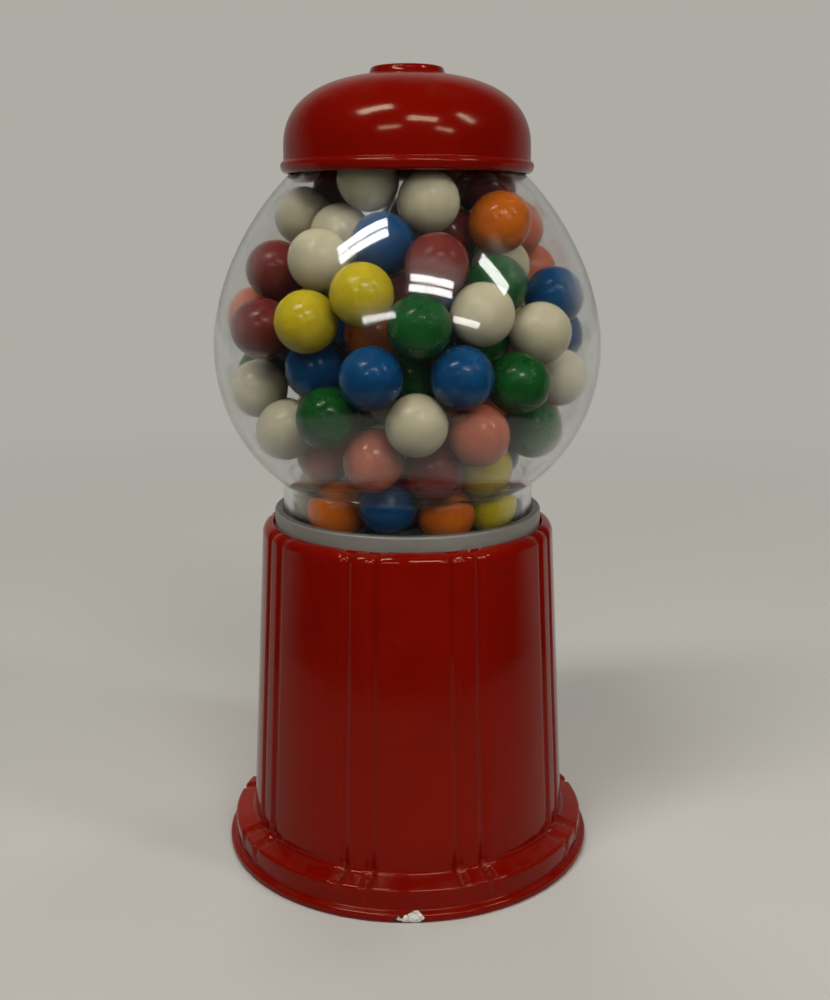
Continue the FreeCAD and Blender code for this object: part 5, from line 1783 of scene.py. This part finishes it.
    @staticmethod
    def drill(place: Point2, radius: float, middle: float, reach: float) -> bpy.types.Mesh:
        """Make the round bar that a hole is cut with.

        Args:
            place: The hole's middle, across and up.
            radius: The hole's radius.
            middle: How far in front of the axis the bar's middle lies.
            reach: Half of the bar's length.

        Returns:
            A closed mesh.
        """
        bar = Bench.lathe([(0.0, -reach), (radius, -reach), (radius, reach), (0.0, reach)], 32)
        bar.transform(Matrix.Translation((place[0], 0.0, place[1])) @ facing_front(middle))
        return bar

    def tick(self, rank: int) -> bpy.types.Mesh:
        """Make one of the raised ticks round the dial.

        Args:
            rank: Which tick, from the top.

        Returns:
            A closed mesh.
        """
        mesh = Bench.block((-self.tick_half, -self.tick_rise, self.tick_low),
                           (self.tick_half, self.tick_root, self.tick_high), self.tick_edge)
        face = self.plate_front + self.dial_height - self.tick_sunk
        turn = Matrix.Rotation(math.tau * rank / self.ticks, 4, "Y")
        mesh.transform(Matrix.Translation((0.0, -face, self.shaft_level)) @ turn)
        return mesh

    def ear(self, x: float) -> bpy.types.Mesh:
        """Make one of the ears that hold the flap's pin.

        Args:
            x: Its place across the plate.

        Returns:
            A closed mesh.
        """
        half, reach = self.barrel, self.pin_front - self.plate_front + self.ear_root
        steps = 14
        turns = [math.pi * step / steps for step in range(steps + 1)]
        nose = [(half * math.sin(turn), -half * math.cos(turn)) for turn in turns]
        outline = [(-reach, -half), *nose, (-reach, half)]
        bore = ring_of((0.0, 0.0), self.pin_bore, 24)
        mesh = Bench.plate([outline, bore], self.ear_thickness, self.ear_edge)
        across = Matrix(((0, 0, 1, x), (-1, 0, 0, -self.pin_front), (0, 1, 0, self.pin_level), (0, 0, 0, 1)))
        mesh.transform(across)
        mesh.flip_normals()
        return mesh

    def flap(self) -> bpy.types.Mesh:
        """Make the hinged flap: a rounded sheet on a barrel, with a rolled finger edge.

        Returns:
            A mesh of closed parts.
        """
        half, edge, bore = self.flap_half, self.barrel_edge, self.pin_bore
        rim = rounded_rectangle((-half, self.flap_low), (half, self.pin_level), self.flap_corner, 6)
        back = self.pin_front - self.flap_thickness / 2
        sheet = self.upright([rim], back, self.flap_thickness, self.flap_edge)
        tube = Profile(bore, -half).to(self.barrel - edge, -half).arc(self.barrel, -half + edge, QUARTER, 3)
        tube.to(self.barrel, half - edge).arc(self.barrel - edge, half, QUARTER, 3).to(bore, half)
        barrel = Bench.lathe(tube.points, 40)
        across = Matrix.Rotation(math.pi / 2, 4, "Y")
        barrel.transform(Matrix.Translation((0.0, -self.pin_front, self.pin_level)) @ across)
        roll = self.roll
        reach = half - self.roll_inset
        bead = Profile(0.0, -reach).arc(roll, -reach + roll, QUARTER, 5).to(roll, reach - roll)
        bead.arc(0.0, reach, QUARTER, 5)
        finger = Bench.lathe(bead.points, 24)
        level = self.flap_low + roll + self.roll_rise
        finger.transform(Matrix.Translation((0.0, -self.pin_front - self.roll_out, level)) @ across)
        panel = rounded_rectangle((-half + self.panel_side, self.flap_low + self.panel_low),
                                  (half - self.panel_side, self.pin_level - self.panel_high),
                                  self.panel_corner)
        raised = self.upright([panel], back + self.panel_out, self.flap_thickness - self.panel_thinner,
                              self.panel_edge)
        return Bench.together([sheet, barrel, finger, raised])

    def handle_disc(self) -> bpy.types.Mesh:
        """Make the handle's round back plate, with a line cut round its face.

        Returns:
            A closed mesh.
        """
        radius, top = self.disc_radius, self.disc_height
        back, front = self.disc_back_edge, self.disc_front_edge
        disc = Profile(self.disc_bore, 0.0).to(radius - back, 0.0).arc(radius, back, QUARTER, 3)
        disc.to(radius, top - front).arc(radius - front, top, QUARTER, 5)
        disc.to(radius - self.line_outer, top).to(radius - self.line_middle, top - self.line_depth)
        disc.to(radius - self.line_inner, top).to(self.disc_bore, top, 2)
        plate = Bench.lathe(disc.points, 96)
        plate.transform(Matrix.Translation((0.0, 0.0, self.shaft_level)) @ facing_front(self.handle_back))
        return plate

    def handle(self) -> bpy.types.Mesh:
        """Make the turning handle: a round back plate with a waisted bar across it.

        Returns:
            A mesh of closed parts.
        """
        plate = self.handle_disc()
        steps, end_steps = 14, 12
        width = self.bar_width
        straight = self.bar_half - width
        swell = width - self.bar_waist
        upper = []
        for step in range(steps + 1):
            x = straight * (1 - 2 * step / steps)
            upper.append((x, self.bar_waist + swell * math.sin(abs(x / straight) * math.pi / 2) ** 2))
        turns = [math.pi * step / end_steps for step in range(1, end_steps)]
        left = [(-straight - width * math.sin(turn), width * math.cos(turn)) for turn in turns]
        half_turn = upper + left
        outline = half_turn + [(-x, -z) for x, z in half_turn]
        outline = [(x, z + self.shaft_level) for x, z in outline]
        back = self.handle_back + self.disc_height - self.bar_sunk
        height = self.bar_height + self.bar_sunk
        bar = self.upright([outline], back, height, self.bar_rounding)
        recess = self.drill((0.0, self.shaft_level), self.recess, back + height / 2, height)
        return Bench.together([plate, Bench.worked(bar, [(Work.CUT, recess)])])

    def screws(self) -> bpy.types.Mesh:
        """Make the plate's screws, their slots each at an angle of its own.

        Returns:
            A mesh of closed parts.
        """
        low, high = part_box("faceplate_screws")
        rise = -self.plate_front - low.y
        meshes = []
        for rank, (x, z) in enumerate(self.screw_places()):
            mesh = SlottedHeads().screw(self.head_radius, rise, self.shank_radius, high.y + self.plate_front)
            turn = Matrix.Rotation(self.first_turn + self.next_turn * rank, 4, "Z")
            mesh.transform(Matrix.Translation((x, 0.0, z)) @ facing_front(self.plate_front) @ turn)
            meshes.append(mesh)
        return Bench.together(meshes)

    def build(self, finish: Chrome) -> list[Piece]:
        """Make the front's pieces.

        Args:
            finish: The plating.

        Returns:
            The pieces.
        """
        material = finish.material()
        makers = (
            ("front_plate", self.plate, "base", "faceplate"),
            ("ball_flap", self.flap, "flap", "chute_flap"),
            ("turning_handle", self.handle, "handle", "handle"),
            ("plate_screws", self.screws, "base", "faceplate_screws"),
        )
        made = []
        for name, make, body, node in makers:
            made.append(Bench.dress(Bench.piece(name, make()), body, [node], "chrome_plate", material))
        for node in ("handle_screw", "flap_pin"):
            coat(node, material)
        return made


def coat(node: str, material: bpy.types.Material) -> None:
    """Give a node of the frame a finish.

    Args:
        node: The node's name.
        material: The finish's material.
    """
    slots = frame["nodes"][node].data.materials
    slots.clear()
    slots.append(material)
    LOG.info("%s: %s", node, material.name)


@dataclass
class Works:
    """The pieces inside the base and under it, which keep the frame's own shapes."""

    def build(self) -> None:
        """Give each piece its finish."""
        steel = PlainMetal("plated_steel", (0.50, 0.49, 0.46), (0.34, 0.32, 0.28), 0.28).material()
        brass = PlainMetal("bush_brass", (0.55, 0.36, 0.13), (0.34, 0.21, 0.08), 0.26).material()
        black = MouldedPlastic("black_plastic", (0.022, 0.021, 0.020), (0.014, 0.013, 0.013),
                               roughness=0.40).material()
        milky = MouldedPlastic("milky_plastic", (0.52, 0.49, 0.42), (0.44, 0.41, 0.34),
                               roughness=0.36, grain=0.012, milk=0.25).material()
        gear = MouldedPlastic("gear_plastic", (0.56, 0.53, 0.45), (0.46, 0.43, 0.35),
                              roughness=0.38, grain=0.010, milk=0.2).material()
        rubber = MouldedPlastic("plug_rubber", (0.030, 0.029, 0.028), (0.020, 0.019, 0.018),
                                roughness=0.62, grain=0.05).material()
        under = MouldedPlastic("black_enamel", (0.020, 0.019, 0.018), (0.013, 0.012, 0.012),
                               roughness=0.34, grain=0.06).material()
        finishes = (
            (steel, ("bottom_screws", "hopper_screws", "wheel_screw", "drive_shaft", "shaft_clip",
                     "bearing_bracket", "bracket_screws", "coin_track", "track_screw", "ratchet_wheel",
                     "ratchet_spring", "spring_screw", "chute_screws")),
            (brass, ("shaft_bush",)),
            (black, ("dispensing_wheel", "ball_baffle")),
            (milky, ("hopper", "chute")),
            (gear, ("crown_gear", "drive_pinion")),
            (rubber, ("coin_plug",)),
            (under, ("bottom_plate",)),
        )
        for material, nodes in finishes:
            for node in nodes:
                coat(node, material)


@dataclass(frozen=True)
class Lamp:
    """A long studio lamp: bearing from the back and height of its ends, its breadth and its brightness."""

    name: str
    start: Point2
    end: Point2
    breadth: float
    radiance: float
    mirrored: bool = True
    on_floor: bool = True

    @staticmethod
    def way(angles: Point2) -> Vector:
        """Turn a bearing and a height into a direction.

        Args:
            angles: The bearing and the height, in degrees.

        Returns:
            A direction of length 1.
        """
        bearing, rise = (math.radians(angle) for angle in angles)
        level = math.cos(rise)
        return Vector((math.sin(bearing) * level, math.cos(bearing) * level, math.sin(rise)))


@dataclass
class Studio:
    """A plain pale floor, soft light and the camera."""

    middle: Point3 = (0.0, 0.0, 0.12)
    distance: float = 1.5
    floor_colour: Colour = (0.495, 0.482, 0.452)
    floor_shade: float = 0.97
    floor_radius: float = 6.0
    floor_drop: float = 0.00002
    sky_colour: Colour = (0.425, 0.412, 0.374)
    lamp_colour: Colour = (1.0, 0.985, 0.95)
    fade_start: float = 0.12
    fade_end: float = 0.75
    # These set the floor's painted dark reflection: where it starts, where it is full beyond the table's
    # reach, and which side of the floor it covers.
    table_reach: float = 0.236
    table_edge: float = 0.006
    dark_reflection_start: float = 0.05
    dark_reflection_back: float = -0.08
    dark_reflection_front: float = 0.06
    gloom_way: Point3 = (0.0, 0.8, 0.6)
    gloom_start: float = -0.58
    gloom_end: float = -0.02
    # How strong the floor's painted dark reflection is near the machine and at the table's reach.
    mirrored: float = 0.15
    mirrored_far: float = 0.45
    mirror_dim: float = 0.32
    gloom_colour: Colour = (0.024, 0.023, 0.022)
    camera_place: Point3 = (0.01265, 0.3293, 0.1774)
    camera_target: Point3 = (-0.00207, 0.0, 0.1002)
    lens: float = 43.2
    sensor: float = 36.0
    glint_share: float = 0.32
    machine: Optional[bpy.types.Collection] = None
    lamps: tuple[Lamp, ...] = (
        Lamp("left_tube_upper", (58.5, 47.1), (25.7, 65.0), 0.094, 27.0),
        Lamp("left_tube_lower", (54.0, 44.1), (22.0, 60.8), 0.094, 27.0),
        Lamp("middle_tube_upper", (0.3, 42.4), (-28.4, 37.2), 0.080, 26.0),
        Lamp("middle_tube_lower", (1.1, 38.0), (-26.4, 33.5), 0.080, 26.0),
        Lamp("right_tube", (-55.0, 44.3), (-63.6, 29.4), 0.15, 20.0),
        Lamp("low_left_tube", (28.1, 22.4), (9.1, 26.0), 0.085, 17.0),
        Lamp("low_right_tube", (-24.8, 22.9), (-39.5, 18.3), 0.090, 17.0),
        Lamp("front_tube", (150.0, 50.0), (185.0, 46.0), 0.25, 9.0, mirrored=False),
        Lamp("front_panel", (138.0, 42.0), (200.0, 42.0), 0.85, 4.2, mirrored=False, on_floor=False),
        Lamp("front_side_tube", (-118.0, 44.0), (-138.0, 36.0), 0.20, 9.0, mirrored=False),
    )

    def floor(self) -> Piece:
        """Lay the floor, a wide disc with a faint unevenness in its colour.

        Returns:
            The floor.
        """
        outline = ring_of((0.0, 0.0), self.floor_radius, 96)
        mesh = Bench.mesh([(x, y, -self.floor_drop) for x, y in outline], [tuple(range(len(outline)))])
        piece = Bench.piece("floor", mesh)
        graph = Graph("pale_floor")
        cloud = graph.remap(graph.noise(2.5, 4.0), 0.3, 0.7)
        darker = scaled(self.floor_shade, self.floor_colour)
        graph.set(Base_Color=graph.blend(cloud, darker, self.floor_colour), Roughness=0.85,
                  Specular_IOR_Level=0.2)
        graph.relief((graph.noise(900.0, 3.0), 0.03 * MM))
        self.fade(graph)
        mesh.materials.append(graph.material)
        return piece

    def fade(self, graph: Graph) -> None:
        """Let the floor run out into the background's colour, with a painted dark reflection: what mirrors
        its near side sees gloom.

        Args:
            graph: The floor's material.
        """
        distance = graph.vector("LENGTH", graph.place, (0.0, 0.0, 0.0), "Value")
        far = graph.remap(distance, self.fade_start, self.fade_end)
        rays = graph.nodes.new("ShaderNodeLightPath").outputs
        seen = graph.math("ADD", rays["Is Camera Ray"], rays["Is Glossy Ray"])
        seen = graph.math("ADD", seen, rays["Is Transmission Ray"])
        split = graph.nodes.new("ShaderNodeSeparateXYZ")
        graph.feed(split.inputs[0], graph.place)
        # Painted dark reflection: on the camera's side of the floor, glossy rays see gloom instead of the
        # pale floor. It is partial near the machine and full beyond the table's reach.
        edge = graph.remap(distance, self.table_reach, self.table_reach + self.table_edge)
        near = graph.remap(distance, self.dark_reflection_start, self.table_reach, self.mirrored, self.mirrored_far)
        side = graph.remap(split.outputs["Y"], self.dark_reflection_back, self.dark_reflection_front)
        painted_dark_reflection = graph.math("MULTIPLY", graph.math("MAXIMUM", edge, near), side)
        surface = graph.shader.outputs["BSDF"]
        layers = ((graph.math("MULTIPLY", far, seen), self.sky_colour),
                  (graph.math("MULTIPLY", painted_dark_reflection, rays["Is Glossy Ray"]), self.gloom_colour))
        for factor, colour in layers:
            glow = graph.nodes.new("ShaderNodeEmission")
            graph.feed(glow.inputs["Color"], colour)
            mix = graph.nodes.new("ShaderNodeMixShader")
            graph.feed(mix.inputs[0], factor)
            graph.feed(mix.inputs[1], surface)
            graph.feed(mix.inputs[2], glow.outputs["Emission"])
            surface = mix.outputs["Shader"]
        graph.feed(graph.output.inputs["Surface"], surface)

    def sky(self) -> None:
        """Light the scene from a pale wall behind the machine, with gloom on the camera's side and above."""
        world = bpy.data.worlds.new("studio")
        world.use_nodes = True
        tree = Tree(world.node_tree)
        way = tree.nodes.new("ShaderNodeTexCoord").outputs["Generated"]
        side = tree.vector("DOT_PRODUCT", way, Vector(self.gloom_way).normalized(), "Value")
        dim = tree.remap(side, self.gloom_start, self.gloom_end)
        rays = tree.nodes.new("ShaderNodeLightPath").outputs
        mirror = tree.math("SUBTRACT", rays["Is Glossy Ray"], rays["Is Transmission Ray"])
        dimmed = tree.math("MAXIMUM", dim, tree.math("MULTIPLY", mirror, self.mirror_dim))
        unseen = tree.math("SUBTRACT", dimmed, rays["Is Camera Ray"])
        colour = tree.blend(unseen, self.sky_colour, self.gloom_colour)
        tree.feed(tree.nodes["Background"].inputs["Color"], colour)
        world.cycles.sampling_method = "NONE"
        bpy.context.scene.world = world

    def tube(self, lamp: Lamp) -> Piece:
        """Hang a lamp so that it faces the machine.

        Args:
            lamp: The lamp.

        Returns:
            Its object.
        """
        middle = Vector(self.middle)
        start, end = (middle + lamp.way(angles) * self.distance for angles in (lamp.start, lamp.end))
        place = (start + end) / 2
        along = (end - start).normalized()
        away = (place - middle).normalized()
        away = (away - along * away.dot(along)).normalized()
        across = away.cross(along)
        light = bpy.data.lights.new(lamp.name, "AREA")
        light.shape = "RECTANGLE"
        light.size, light.size_y = (end - start).length, lamp.breadth
        light.energy = lamp.radiance * math.pi * light.size * light.size_y
        light.color = self.lamp_colour
        piece = bpy.data.objects.new(lamp.name, light)
        piece.matrix_world = Matrix.Translation(place) @ Matrix((along, across, away)).transposed().to_4x4()
        piece.visible_camera = False
        piece.visible_transmission = False
        piece.visible_glossy = lamp.mirrored
        if not lamp.on_floor:
            piece.light_linking.receiver_collection = self.machine
        bpy.context.scene.collection.objects.link(piece)
        return piece

    def aim(self, candy: Sequence[Piece]) -> None:
        """Aim the front panel at the machine, and let the tubes glint on the gumballs inside the globe.

        Args:
            candy: The gumballs.
        """
        for piece in bpy.context.scene.objects:
            if piece.type == "MESH" and piece.name != "floor":
                self.machine.objects.link(piece)
        receivers = bpy.data.collections.new("glinting")
        for piece in candy:
            receivers.objects.link(piece)
        mirrored = [lamp for lamp in self.lamps if lamp.mirrored]
        for lamp in mirrored:
            twin = self.tube(lamp)
            twin.name = f"{lamp.name}_glint"
            twin.visible_diffuse = False
            twin.data.energy *= self.glint_share
            twin.data.cycles.use_multiple_importance_sampling = False
            twin.light_linking.receiver_collection = receivers

    def camera(self) -> Piece:
        """Set up the camera at the photograph's place.

        Returns:
            The camera.
        """
        data = bpy.data.cameras.new("camera")
        data.sensor_width = self.sensor
        data.lens = self.lens
        piece = bpy.data.objects.new("camera", data)
        place = Vector(self.camera_place)
        turn = (Vector(self.camera_target) - place).to_track_quat("-Z", "Y")
        piece.matrix_world = Matrix.Translation(place) @ turn.to_matrix().to_4x4()
        bpy.context.scene.collection.objects.link(piece)
        bpy.context.scene.camera = piece
        return piece

    def build(self) -> None:
        """Set up floor, light and camera."""
        bpy.context.scene.view_settings.view_transform = "Standard"
        self.machine = bpy.data.collections.new("machine")
        self.floor()
        self.sky()
        for lamp in self.lamps:
            self.tube(lamp)
        self.camera()
        LOG.info("studio: %d lamps", len(self.lamps))


def main() -> None:
    """Build the machine and the studio, logging each piece as it is made."""
    logging.basicConfig(level=logging.INFO, format="%(name)s %(message)s", stream=sys.stdout)
    red, deep_red = (0.160, 0.0026, 0.0004), (0.138, 0.0020, 0.0003)
    chips = (
        Mark(centre=(0.0012, 0.0526, 0.0015), reach=(0.0032, 0.0030, 0.0013),
             colour=(0.66, 0.63, 0.57), cracked=True),
        Mark(centre=(-0.0219, 0.0346, 0.0896), reach=(0.0006, 0.0008, 0.0004),
             colour=(0.020, 0.010, 0.008)),
        Mark(centre=(-0.0165, 0.0379, 0.0827), reach=(0.0004, 0.0008, 0.0003),
             colour=(0.030, 0.012, 0.010)),
        Mark(centre=(-0.0165, 0.0381, 0.0801), reach=(0.0003, 0.0008, 0.0005),
             colour=(0.10, 0.06, 0.05)),
    )
    studio = Studio()
    studio.build()
    BaseCasting().build(Enamel("red_enamel_base", red, deep_red, marks=chips))
    Globe().build(ClearGlass(), FrostedPlastic())
    Lid().build(Enamel("red_enamel_lid", red, deep_red, gloss=0.13))
    candy = Gumballs().build()
    FrontMechanism().build(Chrome())
    Works().build()
    studio.aim(candy)


if __name__ == "__main__":
    main()
